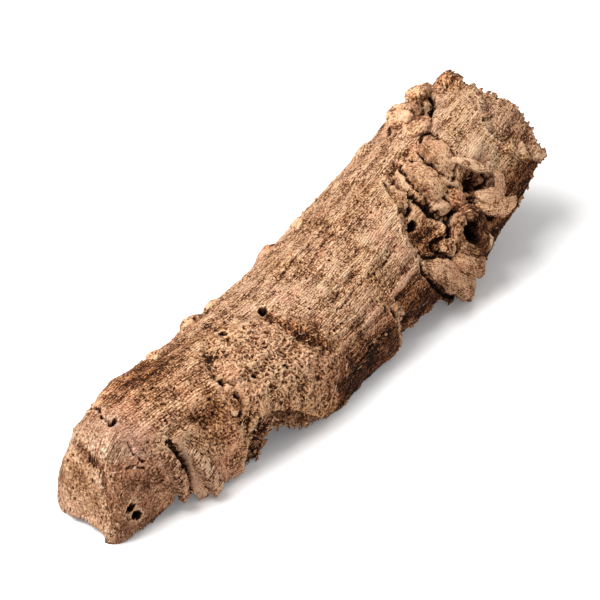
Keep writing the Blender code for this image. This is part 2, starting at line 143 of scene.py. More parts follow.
# Cracks: half width, depth, and the places that they run through. The one with a depth
# below 0 is the raised border of the head.
CRACKS = [
    (2.2, 2.0, [(14, 66), (11, 48), (8, 30), (6, 23), (3, 5), (2, -9)]),
    (2.4, 3.6, [(16, 72), (12, 50), (9, 36)]),
    (1.1, 2.3, [(3, 5), (1, -13), (-1, -25), (-4, -38), (-6, -55), (-8, -80)]),
    (4.0, -1.8, [(0, -14), (-3, -26), (-5, -36), (-7, -55), (-9, -87)]),
    (1.0, 3.0, [(34, 46), (27, 24), (20, 11), (18, -6)]), (0.9, 3.0, [(22, 15), (19, 3), (18, -6)]),
    (0.8, 2.2, [(15, -31), (14, -43), (17, -53)]),
    (0.7, 1.8, [(7, -45), (12, -52), (16, -58)]),
    (1.7, 4.6, [(34, -50), (37, -62), (38, -75), (40, -104)]),
    (0.9, 2.4, [(47, -70), (48, -84), (51, -104)]),
    (3.4, 1.8, [(93, -6), (82, -25), (84, -46), (78, -57), (80, -76)]),
    (1.5, 5.0, [(83, -30), (86, -37), (84, -45), (81, -52), (80, -58)]),
    (3.6, 1.2, [(143, -4), (140, -14), (143, -28), (145, -47), (150, -57)]),
    (2.1, 4.6, [(275, -6), (272, -22), (273, -32), (275, -44), (280, -53)]),
    (1.7, 5.4, [(300, -10), (296, -20), (293, -29), (291, -36)]),
    (1.3, 3.4, [(297, -44), (302, -52), (306, -60)]),
    (1.3, 3.0, [(278, -50), (284, -54), (292, -54)]),
    (1.9, 5.0, [(324, 2), (336, 8), (345, 14), (350, 22)]),
    (1.7, 4.0, circle(KNOT, 14.4)),
    (1.2, 3.4, [(207, -66), (212, -82), (214, -96)]),
    (0.7, 1.6, [(170, -80), (184, -77), (196, -76)]),
    (0.8, 0.6, [(176, -40), (196, -37), (222, -41), (240, -38)]),
    (0.8, 0.6, [(160, 6), (188, 10), (226, 8)]),
    (1.0, 2.2, [(91, 55), (97, 63), (105, 67), (108, 75), (107, 85), (111, 94)]),
    (0.9, 2.2, [(224, 59), (240, 63), (254, 65), (262, 72), (264, 82), (270, 91)]),
    (0.8, 1.5, [(150, 70), (164, 73), (182, 72), (206, 76), (222, 75)]),
    (0.8, 1.4, [(46, 58), (60, 61), (78, 66), (90, 65)]),
    (0.9, 1.6, [(286, 68), (304, 64), (322, 65), (344, 61)]),
    (0.8, 1.4, [(128, 84), (146, 88), (170, 87)])]
# Broken plate edges: places, the drop past them, and the length over which it fades out.
LEDGES = [
    ([(273, -2), (268, -8), (255, -25), (249, -33), (244, -43), (245, -54), (248, -66)], 4.4, 44),
    ([(362, -10), (349, -23), (343, -32), (352, -53)], 1.4, 40),
    ([(213, -66), (212, -80), (214, -104)], 2.8, 34),
    ([(236, 58), (228, 74), (234, 96)], 2.6, 40)]
LEDGE_STEP, LEDGE_END = 0.8, 8.0    # width of the drop, and degrees over which it ends
# Insect holes: along, angle, radius, depth, and how wide for its length. Each of the twin
# holes near the closed end is two rounds run together. The last is the knot's heart.
HOLES = [(18, -6, 3.1, 9, 1.1), (-0.1, -72, 1.7, 9, 1.2), (1.7, -76, 1.7, 9, 1.2),
         (2.6, -84.5, 2.1, 9, 1.2), (5.0, -89, 2.2, 9, 1.2), (82, -31, 2.6, 7, 1),
         (114, 2, 2.6, 8, 1), (144, -3, 2.7, 9, 1), (259, -39, 3.0, 9, 1), (274, -40, 2.6, 9, 1),
         (100, -40, 1.4, 5, 1), (118, -47, 1.3, 5, 1), (*KNOT, 8.0, 9, 1)]
HOLE_RIM = 0.60                 # width of a hole's rounded mouth
HOLE_FLOOR = 2.6                # bark left under a hole
HOLE_SHADE = 0.7                # width of the painted shade's fringe outside a hole's rim
DEEP_CRACK = 2.4                # depth past which a crack is painted dark inside, as shade

# Stained places, which are real stains in part and painted shade in part, low on the near
# side, on the broken end's near face and in hollows; spots of painted shade in slots and
# hollows; and pale places: place, length, width in degrees, and how much. An amount below 0
# takes paleness away, as at the peak.
STAINS_AND_PAINTED_SHADE = [
    ((148, -38), 14, 15, 0.35), ((206, -44), 20, 12, 0.35), ((260, -50), 12, 20, 0.7),
    ((141, -12), 6, 9, 0.6), ((144, -26), 8, 10, 0.65), ((147, -45), 9, 12, 0.55),
    ((154, -54), 14, 10, 0.35), ((228, 2), 40, 7, 0.3), ((196, -4), 16, 6, 0.25),
    ((312, -50), 9, 9, 0.8), ((56, 10), 40, 30, 0.55), ((354, -74), 22, 12, 1.1),
    ((84, -40), 5, 18, 0.5), ((364, 16), 8, 12, 0.9), ((338, 22), 9, 10, 0.4),
    ((228, -86), 14, 14, 1.0), ((66, 26), 26, 12, 0.6), ((112, 12), 12, 8, 0.4),
    ((230, 20), 30, 5, 0.35), ((364, -48), 10, 14, 0.4), ((350, -76), 26, 14, 0.7),
    ((368, 16), 7, 11, 1.3), ((92, 48), 34, 14, 0.35), ((100, -88), 20, 10, 0.5),
    ((66, -48), 22, 34, 0.6), ((48, 34), 30, 16, 0.4), ((274, -34), 4, 16, 0.6),
    ((80, -84), 8, 10, 0.35)]
PAINTED_SHADE_SPOTS = [
    ((312, -51), 8, 8, 0.8), ((295, -23), 3, 8, 0.9), ((272, -26), 3.4, 12, 1.0),
    ((369, 15), 8, 9, 0.45), ((273, -38), 2.8, 6, 0.9), ((277, -49), 3, 4, 0.8),
    ((309, -71), 6, 5, 1.0), ((281, -61), 3, 4, 0.7), ((309, -32), 2.5, 3, 0.8),
    ((338, 9), 6, 6, 0.8), ((258, -70), 6, 4, 0.9), ((93, -88), 9, 14, 1.1),
    ((38.5, -80), 2.6, 24, 1.3), ((83.5, -46), 2.4, 9, 1.2), ((264, -62), 4, 5, 0.5)]
PALE = [
    ((204, -15), 16, 4, 1.1), ((190, -30), 24, 8, 0.8), ((332, -34), 18, 16, 1.9),
    ((246, -36), 5, 16, 0.5), ((60, -8), 14, 14, 0.25), ((228, -20), 20, 6, 0.4),
    ((318, -41), 8, 4, 0.7), ((180, 16), 30, 6, 0.3), ((338, -4), 24, 16, 1.3),
    ((176, -8), 40, 20, 0.6), ((258, -78), 20, 12, 0.8), ((118, -70), 16, 14, 0.5),
    ((128, -84), 14, 14, 1.2), ((228, -28), 26, 16, 0.5), ((367, 15), 9, 10, -1.6)]
# Torn corners with gritty grain, and the round lump on the neck, which has some too.
CORNERS = [((366, 14), 14, 16, 1.0), ((336, 26), 24, 12, 1.0), ((312, -50), 12, 12, 1.2)]
ROUND_LUMP = (69, -62), 15, 30

# Borders of the kinds of bark: angle, and how far along each lies.
LOBE_END = np.array([(-105, 30), (-70, 26), (-54, 21), (-40, 8), (-8, 3), (23, 7), (70, 13.0)])
FURROW = np.array([(-90, 80), (-57, 78), (-46, 84), (-25, 82), (-6, 93), (20, 104), (60, 100.0)])
BULGE_END = np.array([(-105, 142), (-75, 150), (-51, 150), (-24, 143), (-5, 128), (12, 100.0)])
RECESS_START = np.array([(-70, 250), (-54, 246), (-43, 245), (-33, 250), (-25, 256), (-8, 269),
                         (4, 280.0)])
HEAD_END = np.array([(-105, -9), (-80, -8), (-55, -6), (-38, -4), (-25, -1), (-13, 1), (5, 3),
                     (23, 7), (70, 13.0)])
BROKEN_START = 268              # how far along the recess is broken into lumps

# How far the skin lies back, and where measures along it start
STRIPPED_DEPTH, BITE_DEPTH = 1.8, 3.4   # where the outer layer is gone, and more at the bite
GAP_DEPTH = 1.6                 # in the gap round a plate
CAP_LENGTH = 45                 # skin over the closed end, past which its lines count from 0

# How the painted shade by relief is found: reach of the near and the wide blur in rows and
# columns, on a grid of so many rows, and how much each counts
NEAR_BLUR, WIDE_BLUR, BLUR_ROWS = (2, 3), (7, 10), 345
NEAR_SHARE, WIDE_SHARE = 0.75, 0.12

# The ring knot: radius of its collar, and its profile as level and share of that radius.
KNOT_COLLAR = 12.6
KNOT_LIP = 1.1                  # the turn at which its collar stands highest
KNOT_LEAN = np.array([-0.45, 0, 0.3])   # how its axis leans from square to the arch
KNOT_GRID = 98, 150             # points along its profile and round it
KNOT_PROFILE = np.array([(-9, 0.0), (-7, 0.7), (-2, 0.96), (0.8, 1.04), (3.0, 1.06), (4.4, 0.98),
                         (5.2, 0.86), (4.8, 0.76), (4.2, 0.66), (3.8, 0.54), (2.2, 0.44), (-0.8, 0.38),
                         (-4, 0.33), (-6.5, 0.26), (-7.5, 0.0)])
# What plates and lumps of a kind share
LUMP = {"coarse": 0.4, "square": 0.36, "teeth": 0.3, "grain": 0.6, "blunt": 7.0}
KNOT_LUMP = {"coarse": 0.8, "square": 0.5, "teeth": 0.3}
HANGING = {"square": 0.5, "blunt": 8.0, "grain": 0.8}
CHIP = {"coarse": 0.7, "square": 0.42, "teeth": 0.2, "blunt": 8.0}
NECK_CHIP = {"coarse": 0.9, "grain": 1.1, "square": 0.34, "teeth": 0.45, "blunt": 12.0}
FIN = {"coarse": 0.0, "grain": 0.3, "ribs": 0.9, "square": 0.45}
NODULE = {"coarse": 0.9, "square": 0.55}
# Plates and lumps: name, path rows of (along, angle, lift, half width, thickness, curl), and
# what sets each apart.
PLATES = [
    ("tongue_1", [(324, -50, 0.6, 2.0, 3.0, 0.0), (327.5, -56, 3.0, 3.4, 3.8, 0.4),
                  (322, -62, 4.6, 4.4, 4.0, 0.8), (313, -61, 4.4, 4.4, 4.0, 0.6),
                  (305.5, -54, 1.6, 3.0, 3.6, 0.0)],
     {"tone": (0.25, 1.2), "coarse": 0.3, "grain": 0.5, "raw": 0.3}),
    ("tongue_2", [(303, -60, 1.0, 3.4, 3.0, 0.0), (309, -65, 4.4, 5.2, 3.0, 0.4),
                  (317, -69, 6.4, 5.4, 2.6, 1.2), (325, -70.5, 7.2, 4.0, 2.2, 1.8),
                  (332, -70, 7.0, 1.0, 1.6, 2.0)],
     {"tone": (0.25, 1.4), "coarse": 0.3, "grain": 0.5, "raw": 0.2, "lean": -12.0, "blunt": 3.0}),
    ("hollow_lip", [(306, -27, 0.4, 2.4, 3.0, 0.0), (311, -36, 2.0, 3.2, 3.0, 0.6),
                    (316, -44, 3.0, 3.4, 3.0, 0.8), (323, -48, 3.0, 3.2, 3.0, 0.8),
                    (327, -53, 2.0, 2.0, 2.4, 0.4)], {"tone": (0.0, 0.8), "teeth": 0.35, "coarse": 0.4}),
    ("broken_lump_1", [(287, -9, -3.0, 4.0, 7.0, 0.0), (286, -19, -1.2, 6.6, 8.0, 0.0),
                       (285, -31, -1.0, 7.4, 8.4, 0.0), (284, -41, -2.2, 6.6, 7.0, 0.0)],
     dict(LUMP, tone=(0.25, 1.2))),
    ("broken_lump_2", [(311, -9, -4.0, 5.0, 7.0, 0.0), (307, -17, -1.6, 7.4, 8.4, 0.0),
                       (303, -27, -1.6, 6.6, 8.0, 0.0), (301, -34, -3.4, 4.0, 6.0, 0.0)],
     dict(LUMP, tone=(0.25, 1.1))),
    ("broken_lump_3", [(291, -43, -4.0, 4.0, 6.0, 0.0), (294, -49, -1.6, 5.6, 8.0, 0.0),
                       (298, -55, -2.6, 4.2, 6.0, 0.0)],
     dict(LUMP, tone=(0.5, 0.0), coarse=0.5)),
    ("broken_lump_4", [(270, -9, -3.4, 4.0, 5.0, 0.0), (265, -18, -2.2, 4.4, 5.0, 0.0),
                       (262, -27, -3.4, 3.0, 4.0, 0.0)],
     dict(LUMP, tone=(0.1, 0.2), grain=1.0, blunt=11.0)),
    ("knot_lump_1", [(284, -80, 0.0, 3.4, 6.0, 0.0), (291, -81, 2.6, 4.4, 7.0, 0.0),
                     (297, -81, 1.4, 3.2, 5.0, 0.0)],
     dict(KNOT_LUMP, tone=(0.1, 0.1), raw=0.9)),
    ("knot_lump_2", [(298, -78, 0.0, 3.6, 6.0, 0.0), (303, -82, 2.6, 4.6, 7.0, 0.0),
                     (308, -85, 1.4, 3.4, 5.0, 0.0)],
     dict(KNOT_LUMP, tone=(0.1, 0.1), raw=0.9)),
    ("knot_chip_1", [(266, -63, -2.0, 3.0, 5.0, 0.0), (271, -66, 0.0, 4.4, 6.0, 0.0),
                     (276, -70, -1.0, 3.6, 5.0, 0.0)],
     dict(KNOT_LUMP, tone=(0.1, 0.2))),
    ("hanging_plate_1", [(248, -64, 0.0, 4.5, 4.0, 0.0), (257, -75, 2.6, 8.0, 5.2, 0.0),
                         (268, -86, 3.8, 9.6, 5.4, 0.0), (281, -96, 4.0, 9.6, 5.4, 0.0),
                         (292, -104, 3.0, 6.6, 4.6, 0.0)],
     dict(HANGING, tone=(0.35, 1.1), coarse=0.1, rows=110, columns=100, lean=-22.0, teeth=0.2)),
    ("hanging_plate_2", [(270, -74, 1.0, 4.0, 5.0, 0.0), (279, -82, 5.6, 6.4, 5.0, 0.0),
                         (288, -88, 6.4, 6.4, 5.0, 0.0), (296, -93, 5.4, 5.0, 4.0, 0.0)],
     dict(HANGING, tone=(0.45, 0.9), coarse=0.15, rows=90, columns=80, lean=-18.0, teeth=0.24)),
    ("chip_1", [(314, 17, 0.0, 6.0, 6.0, 0.0), (319, 19, 3.4, 8.0, 8.0, 0.0),
                (327, 20, 4.0, 8.4, 8.4, 0.0), (332, 21, 2.0, 7.0, 6.0, 0.0)],
     dict(CHIP, tone=(0.0, 0.35))),
    ("chip_2", [(338, 22, 1.0, 5.0, 6.0, 0.0), (343, 23, 3.6, 6.6, 8.0, 0.0),
                (349, 24, 3.8, 6.4, 8.0, 0.0), (354, 24, 1.0, 4.6, 6.0, 0.0)],
     dict(CHIP, tone=(0.0, 0.4))),
    ("chip_3", [(306, 6, -1.0, 4.4, 3.0, 0.0), (314, 6, 0.6, 7.6, 3.4, 0.0),
                (322, 5, 0.4, 6.6, 3.0, 0.0), (328, 3, -1.0, 3.4, 2.4, 0.0)],
     {"tone": (0.1, 0.1), "raw": 0.9, "coarse": 0.4, "teeth": 0.25}),
    ("peak_flake", [(356, 12, 1.6, 3.0, 3.0, 0.0), (362, 14, 2.8, 5.0, 3.4, 0.0),
                    (369, 15, 3.0, 3.6, 3.0, 0.0)],
     {"tone": (1.1, -1.4), "coarse": 0.8, "square": 0.5, "teeth": 0.35}),
    ("neck_chip_1", [(83, -35, -2.0, 1.6, 4.0, 0.0), (81, -39, -0.2, 2.6, 4.4, 0.0),
                     (78.5, -44, -1.4, 1.8, 4.0, 0.0)],
     dict(NECK_CHIP, tone=(0.1, 0.3))),
    ("neck_chip_2", [(80, -46, -2.0, 1.8, 4.0, 0.0), (77.5, -50, -0.2, 3.0, 4.6, 0.0),
                     (75, -56, -1.8, 2.0, 4.0, 0.0)],
     dict(NECK_CHIP, tone=(0.1, 0.4))),
    ("fin_1", [(28, -50, -1.6, 2.2, 3.0, 0.0), (30, -64, 0.4, 3.8, 4.6, 0.0),
               (32, -82, 2.0, 4.4, 5.4, 0.0), (34, -100, 2.0, 3.6, 4.6, 0.0)],
     dict(FIN, tone=(0.4, 0.0))),
    ("fin_2", [(42, -60, -1.6, 2.2, 3.0, 0.0), (45, -74, 1.6, 4.0, 5.0, 0.0),
               (49, -90, 3.6, 4.8, 5.6, 0.0), (53, -105, 3.6, 4.0, 4.6, 0.0)],
     dict(FIN, tone=(0.0, 0.6))),
    ("rim_flake_1", [(343, -46, -1.0, 2.2, 2.4, 0.0), (348, -49, 1.0, 3.6, 2.2, 0.8),
                     (354, -51, 1.6, 2.4, 1.8, 0.8)], {"tone": (0.0, 0.7), "teeth": 0.4}),
    ("rim_flake_2", [(350, -53, -1.0, 2.8, 2.8, 0.0), (356, -56, 1.4, 4.6, 2.6, 0.8),
                     (364, -58, 2.0, 3.2, 2.2, 0.8)], {"tone": (0.0, 0.5), "teeth": 0.4, "raw": 0.9}),
    ("rim_flake_3", [(360, -59, -1.0, 3.0, 2.8, 0.0), (367, -62, 1.4, 4.6, 2.6, 0.6),
                     (376, -66, 1.4, 2.6, 2.2, 0.6)], {"tone": (0.0, 0.5), "teeth": 0.4, "raw": 0.9}),
    ("bite_tooth_1", [(86, -100, -5.0, 2.0, 2.4, 0.0), (92, -99, -5.4, 1.6, 2.0, 0.0),
                      (99, -97, -6.0, 0.5, 1.2, 0.0)], {"tone": (0.9, 0.0), "blunt": 2.0}),
    ("bite_tooth_2", [(87, -92, -5.0, 2.0, 2.4, 0.0), (92, -91, -5.6, 1.5, 2.0, 0.0),
                      (97, -91, -6.0, 0.5, 1.2, 0.0)], {"tone": (0.9, 0.0), "blunt": 2.0}),
    ("nodule_1", [(76, 29, -2.5, 3.6, 6.0, 0.0), (83, 31, -0.4, 5.2, 7.0, 0.0),
                  (90, 34, -2.0, 3.4, 5.0, 0.0)], dict(NODULE, tone=(0.0, 0.4))),
    ("nodule_2", [(117, 41, -2.5, 4.2, 6.0, 0.0), (126, 42, 0.0, 5.8, 8.0, 0.0),
                  (135, 43, -2.0, 3.8, 6.0, 0.0)], dict(NODULE, tone=(0.0, 0.3))),
    ("nodule_3", [(138, 38, -2.5, 3.4, 6.0, 0.0), (144, 39, -0.4, 4.8, 7.0, 0.0),
                  (151, 41, -2.0, 3.4, 5.0, 0.0)], dict(NODULE, tone=(0.1, 0.2))),
    ("nodule_4", [(198, 46, -2.5, 3.8, 6.0, 0.0), (205, 47, -0.4, 5.4, 7.4, 0.0),
                  (212, 47, -2.0, 3.6, 6.0, 0.0)], dict(NODULE, tone=(0.3, 0.1))),
    ("nodule_5", [(220, 35, -2.5, 3.6, 5.0, 0.0), (227, 36, -0.6, 5.0, 6.4, 0.0),
                  (234, 37, -2.0, 3.4, 5.0, 0.0)], dict(NODULE, tone=(0.1, 0.2)))]
PLATE_SEED, SEED_STEP = 300, 20 # the first plate's seed, and the step to the next plate's
PLATE_GAP = 1.3                 # width of the gap round a plate, sunk and painted dark as shade
GAPPED = ("tongue", "broken", "knot", "chip_1", "hanging")  # how the gapped plates' names start

# Loose bark: count, then the range of lengths, half width and thickness as shares of the
# length, lift of the tip and sway, then the middle and spread of its directions in degrees,
# its stain and paleness, and how freshly torn it is.
LOOSE = {
    "ledge_flakes": (260, ((2.0, 4.5), 0.34, 0.12, 0.15, 0.1), (0, 40), (0.0, 0.3), 0.3),
    "end_flakes": (240, ((1.2, 2.8), 0.34, 0.16, 0.1, 0.15), (0, 50), (0.1, 0.2), 0.8),
    "near_edge_flakes": (110, ((1.0, 1.8), 0.5, 0.3, 0.1, 0.1), (-40, 60), (0.7, 0.0), 0.3),
    "far_edge_flakes": (240, ((1.0, 2.6), 0.4, 0.2, 0.1, 0.15), (40, 60), (0.2, 0.1), 0.5),
    "bulge_fibres": (620, ((1.8, 4.0), 0.13, 0.10, 0.06, 0.35), (20, 60), (0.05, 0.35), 0.1),
    "recess_chips": (50, ((1.6, 3.6), 0.4, 0.18, 0.15, 0.1), (60, 70), (0.15, 0.25), 0.2),
    "back_crumbs": (260, ((1.0, 2.4), 0.45, 0.3, 0.2, 0.1), (0, 80), (0.0, 0.3), 0.1),
    "crack_flakes": (240, ((1.2, 2.6), 0.4, 0.24, 0.12, 0.1), (0, 70), (0.05, 0.25), 0.2),
    "bite_splinters": (240, ((1.6, 4.6), 0.16, 0.1, 0.15, 0.2), (-40, 40), (0.25, 0.0), 0.9),
    "lobe_crumbs": (120, ((0.9, 1.9), 0.4, 0.2, 0.05, 0.1), (0, 90), (0.1, 0.0), 0.05),
    "long_fibres": (220, ((3.0, 6.0), 0.07, 0.05, 0.0, 0.03), (0, 6), (0.0, 0.3), 0.05)}
LOOSE_SEED = 201                # of the first kind, and one more for each next
EDGE_BAND, END_BAND = 5, 7      # columns and rows of the grid that the edges' flakes hang on

# The photograph's eye point, and the lamp and the floor
AZIMUTH, ELEVATION = np.radians(-54.0), np.radians(36.0)
EYE_DISTANCE = 1.7              # metres from the photographed near end
LENS = 205.0
AIM = Vector((0.0, 0.0, 0.036))
LAMP_PLACE, LAMP_SIZE, LAMP_POWER = (-0.78, 0.72, 1.65), 1.3, 58
FLOOR_REACH = 6.0


# Whole-array tools
def curve(x, table, column=1):
    """A smooth curve through a table's points, with slopes averaged from its neighbours."""
    xs, ys = table[:, 0], table[:, column]
    step = np.diff(xs)
    rate = np.diff(ys) / step
    middle = (step[1:] * rate[:-1] + step[:-1] * rate[1:]) / (step[1:] + step[:-1])
    slope = np.concatenate([rate[:1], middle, rate[-1:]])
    x = np.clip(x, xs[0], xs[-1])
    i = np.clip(np.searchsorted(xs, x, side="right") - 1, 0, len(step) - 1)
    t = (x - xs[i]) / step[i]
    return ((2 * t**3 - 3 * t**2 + 1) * ys[i] + (t**3 - 2 * t**2 + t) * step[i] * slope[i]
            + (3 * t**2 - 2 * t**3) * ys[i + 1] + (t**3 - t**2) * step[i] * slope[i + 1])


def numbered(rows):
    """A table's rows with their numbers put first, so that a curve can run through them."""
    return np.column_stack([np.arange(len(rows)), rows])


def smooth(t):
    """0 below 0, 1 above 1, and an S between."""
    t = np.clip(t, 0, 1)
    return t * t * (3 - 2 * t)


def after(x, start, width):
    """0 up to a start, and 1 from a width past it."""
    return smooth((x - start) / width)


def before(x, stop, width):
    """1 up to a width short of a stop, and 0 past the stop."""
    return smooth((stop - x) / width)


def over(distance, width):
    """1 where a distance is over 0 and 0 where it is under, changing within a width."""
    return smooth(distance / width + 0.5)


def unit(vectors):
    """Vectors scaled to length 1."""
    return vectors / (np.linalg.norm(vectors, axis=-1, keepdims=True) + 1e-12)


def noise(x, y, seed):
    """Seeded gradient noise, about -1 to 1, one cell for each unit."""
    turn = np.random.default_rng(seed).uniform(0, 2 * np.pi, (TILE, TILE))
    i, j = np.floor(x).astype(int), np.floor(y).astype(int)
    fx, fy = x - i, y - j
    corner = {}
    for di in (0, 1):
        for dj in (0, 1):
            angle = turn[(i + di) % TILE, (j + dj) % TILE]
            corner[di, dj] = np.cos(angle) * (fx - di) + np.sin(angle) * (fy - dj)
    sx, sy = smooth(fx), smooth(fy)
    low = corner[0, 0] * (1 - sx) + corner[1, 0] * sx
    high = corner[0, 1] * (1 - sx) + corner[1, 1] * sx
    return 1.5 * (low * (1 - sy) + high * sy)


def solid_noise(points, seed):
    """Seeded gradient noise in space, about -1 to 1, one cell for each unit."""
    ways = unit(np.random.default_rng(seed).normal(size=(SOLID_TILE, SOLID_TILE, SOLID_TILE, 3)))
    low = np.floor(points).astype(int)
    part = points - low
    ease = smooth(part)
    total = np.zeros(points.shape[:-1])
    for corner in np.ndindex(2, 2, 2):
        at = (low + corner) % SOLID_TILE
        way = ways[at[..., 0], at[..., 1], at[..., 2]]
        share = np.prod(np.where(np.array(corner) == 1, ease, 1 - ease), -1)
        total += share * np.sum(way * (part - corner), -1)
    return 1.6 * total


def cells(x, y, seed):
    """One seeded point in each unit cell: the distance to the nearest point, how much
    further the second is, three random numbers of the nearest, and the way from it."""
    draw = np.random.default_rng(seed).uniform(0, 1, (5, TILE, TILE))
    i, j = np.floor(x).astype(int), np.floor(y).astype(int)
    first = np.full(np.shape(x), 9.0)
    second = np.full(np.shape(x), 9.0)
    traits = np.zeros((3,) + np.shape(x))
    way = np.zeros((2,) + np.shape(x))
    for di in (-1, 0, 1):
        for dj in (-1, 0, 1):
            a, b = (i + di) % TILE, (j + dj) % TILE
            dx, dy = x - i - di - draw[0, a, b], y - j - dj - draw[1, a, b]
            away = np.hypot(dx, dy)
            nearer = away < first
            second = np.where(nearer, first, np.minimum(second, away))
            first = np.where(nearer, away, first)
            traits = np.where(nearer, draw[2:, a, b], traits)
            way = np.where(nearer, (dx, dy), way)
    return first, second - first, traits, way


def groove(field, width):
    """1 where a field passes through 0, falling off within a width."""
    return np.exp(-(field / width) ** 2)


def blurred(field, rows, columns):
    """A box blur of a grid, as running sums over rows and then over columns."""
    for axis, reach in ((0, rows), (1, columns)):
        pad = [(0, 0), (0, 0)]
        pad[axis] = (reach + 1, reach)
        total = np.cumsum(np.pad(field, pad, mode="edge"), axis=axis)
        size = field.shape[axis]
        high = np.take(total, np.arange(size) + 2 * reach + 1, axis=axis)
        low = np.take(total, np.arange(size), axis=axis)
        field = (high - low) / (2 * reach + 1)
    return field


def line_distance(x, angle, points, halves=None):
    """Distance over the bark from each place to a line through points, less half the line's
    width, which goes evenly from one point's to the next."""
    best = np.full(np.shape(x), 1e3)
    halves = halves or [0.0] * len(points)
    for (x0, a0), (x1, a1), half, next_half in zip(points[:-1], points[1:], halves[:-1], halves[1:]):
        dx, dw = x1 - x0, (a1 - a0) * AROUND
        px, pw = x - x0, (angle - a0) * AROUND
        t = np.clip((px * dx + pw * dw) / (dx * dx + dw * dw), 0, 1)
        best = np.minimum(best, np.hypot(px - t * dx, pw - t * dw) - half - (next_half - half) * t)
    return best


def spot(x, angle, place, length, width):
    """1 at a place, falling off over a length along the slab and a width in degrees."""
    far = ((x - place[0]) / length) ** 2 + ((angle - place[1]) / width) ** 2
    return np.exp(-SWELL_EDGE * far)


def spots(x, angle, table):
    """The sum of a table's spots, each by its own amount."""
    return sum(size * spot(x, angle, place, length, width) for place, length, width, size in table)


# The arch
def cap_share(x, v, nose, shoulder):
    """1 along the slab, falling round to 0 at the nose of the closed left end."""
    t = np.clip((shoulder + SKEW * v - x) / (shoulder - nose), 0, 1)
    return np.sqrt(1 - t ** ROUNDNESS)


def ragged(x, seed, size):
    """Teeth of a torn edge: three lengths of noise along it, added up."""
    return size * (noise(x / 7, x * 0 + 3, seed) + 0.7 * noise(x / 2.9, x * 0 + 5, seed + 1)
                   + 0.4 * noise(x / 1.3, x * 0 + 7, seed + 2))


def profile(x, share):
    """Centre, half width, widest level and the height above it, along the slab."""
    centre, half, crown = (curve(x, ARCH, k) for k in (1, 2, 3))
    crown = crown * (NOSE_HEIGHT + (1 - NOSE_HEIGHT) * share)
    half = half * (NOSE_WIDTH + (1 - NOSE_WIDTH) * share ** 0.7)
    return centre, half, RISE * crown, (1 - RISE) * crown


def arch_at(x, theta, share, inset):
    """Points of the arch and its outward normals, at angles in radians from the crown.

    The arch is an ellipse round its widest level. At the rounded left end the normals lean
    over to the end's own side."""
    centre, half, level, tall = profile(x, share)
    across = np.maximum(half - inset, 0.3 * half) * np.sin(theta)
    up = np.maximum(tall - inset, 0.3 * tall) * np.cos(theta)
    normal = unit(np.stack([np.zeros_like(x), np.sin(theta) * tall, np.cos(theta) * half], -1))
    lean = (1 - share)[..., None]
    normal = unit(normal * (1 - lean) + np.array([-1.0, 0, 0.15]) * lean)
    return np.stack([x, centre + across, level + up], -1), normal


def angle_at(height, level, tall):
    """The angle, in radians, at which the arch is at a height over the floor."""
    return np.arccos(np.clip((height - level) / tall, -STEEPEST, STEEPEST))


def arch(x, v, share, inset, bite):
    """The arch with v from 0 at the near edge to 1 at the far edge: points, normals and
    angles in degrees. Both edges are torn. The bite lifts the near one, and the places
    next to it are drawn together."""
    near, far = curve(x, ARCH, 4), curve(x, ARCH, 5)
    torn = after(x, 4, 10)
    near = np.maximum(near + curve(x, NEAR_TEETH) + ragged(x, 61, 1.0) * torn, 0) * share
    far = np.maximum(far + curve(x, FAR_TEETH) + ragged(x, 71, 1.7) * torn, 0) * share
    _, _, level, tall = profile(x, share)
    start, stop = -angle_at(near, level, tall), angle_at(far, level, tall)
    lifted = curve(x, bite) + 1.6 * noise(x / 2.6, x * 0 + 1, 81) + 1.1 * noise(x / 1.1, x * 0, 82)
    bitten = np.maximum(-angle_at(lifted, level, tall) - start, 0)
    theta = start + (stop - start) * v + bitten * (1 - v) ** 4
    points, normal = arch_at(x, theta, share, inset)
    return points, normal, np.degrees(theta)


def skin_grid(u, v, nose, shoulder):
    """x of each place: a share of the rows rounds the left end, the rest run to the break."""
    start = shoulder + SKEW * v
    cap = start - (shoulder - nose) * np.cos(np.clip(u / CAP_SHARE, 0, 1) * np.pi / 2)
    t = np.clip((u - CAP_SHARE) / (1 - CAP_SHARE), 0, 1)
    angle = -EDGE_ANGLE + 2 * EDGE_ANGLE * v
    end = curve(angle, BREAK) + ragged(angle * AROUND, 91, 1.6)
    run = start + (end - start) * (t + (1 - FINE_END) * t * (1 - t))
    return np.where(u < CAP_SHARE, cap, run)


def on_bare_arch(along, angle):
    """Points of the smooth arch, without relief, and its outward normals."""
    share = cap_share(along, (angle + EDGE_ANGLE) / (2 * EDGE_ANGLE), NOSE, SHOULDER)
    return arch_at(along, np.radians(angle), share, 0)


# Relief
def ledge_drop(x, angle, points, drop, length):
    """Bark past a broken plate edge lies lower: a ragged step, fading out along the slab."""
    table = np.array(sorted((a, along) for along, a in points), float)
    edge = curve(angle, table) + 1.8 * noise(angle / 4, angle * 0, 31)
    edge += 1.2 * noise(angle / 1.6, angle * 0, 32) + 0.5 * noise(angle / 0.7, angle * 0, 36)
    past = x - edge
    first, last = table[0, 0], table[-1, 0]
    ends = smooth((angle - first) / LEDGE_END + 1) * smooth((last - angle) / LEDGE_END + 1)
    lip = 0.3 * np.exp(-((past + 1.0) / 1.3) ** 2) * (1 + noise(angle / 5, x / 6, 33))
    torn = drop * (1 + 0.35 * noise(angle / 7, x / 9, 34))
    width = LEDGE_STEP * (1.3 + 0.9 * noise(angle / 6, angle * 0, 35))
    return (lip - torn * over(past, width) * (1 - smooth(past / length))) * ends


def jagged(x, angle):
    """Places moved by a fine noise, so that lines drawn through them come out torn."""
    return (x + 0.6 * noise(x / 3, angle / 3, 41) + 0.4 * noise(x / 1.2, angle / 1.2, 42),
            angle + 0.7 * noise(x / 3, angle / 3, 43) + 0.4 * noise(x / 1.2, angle / 1.2, 44))


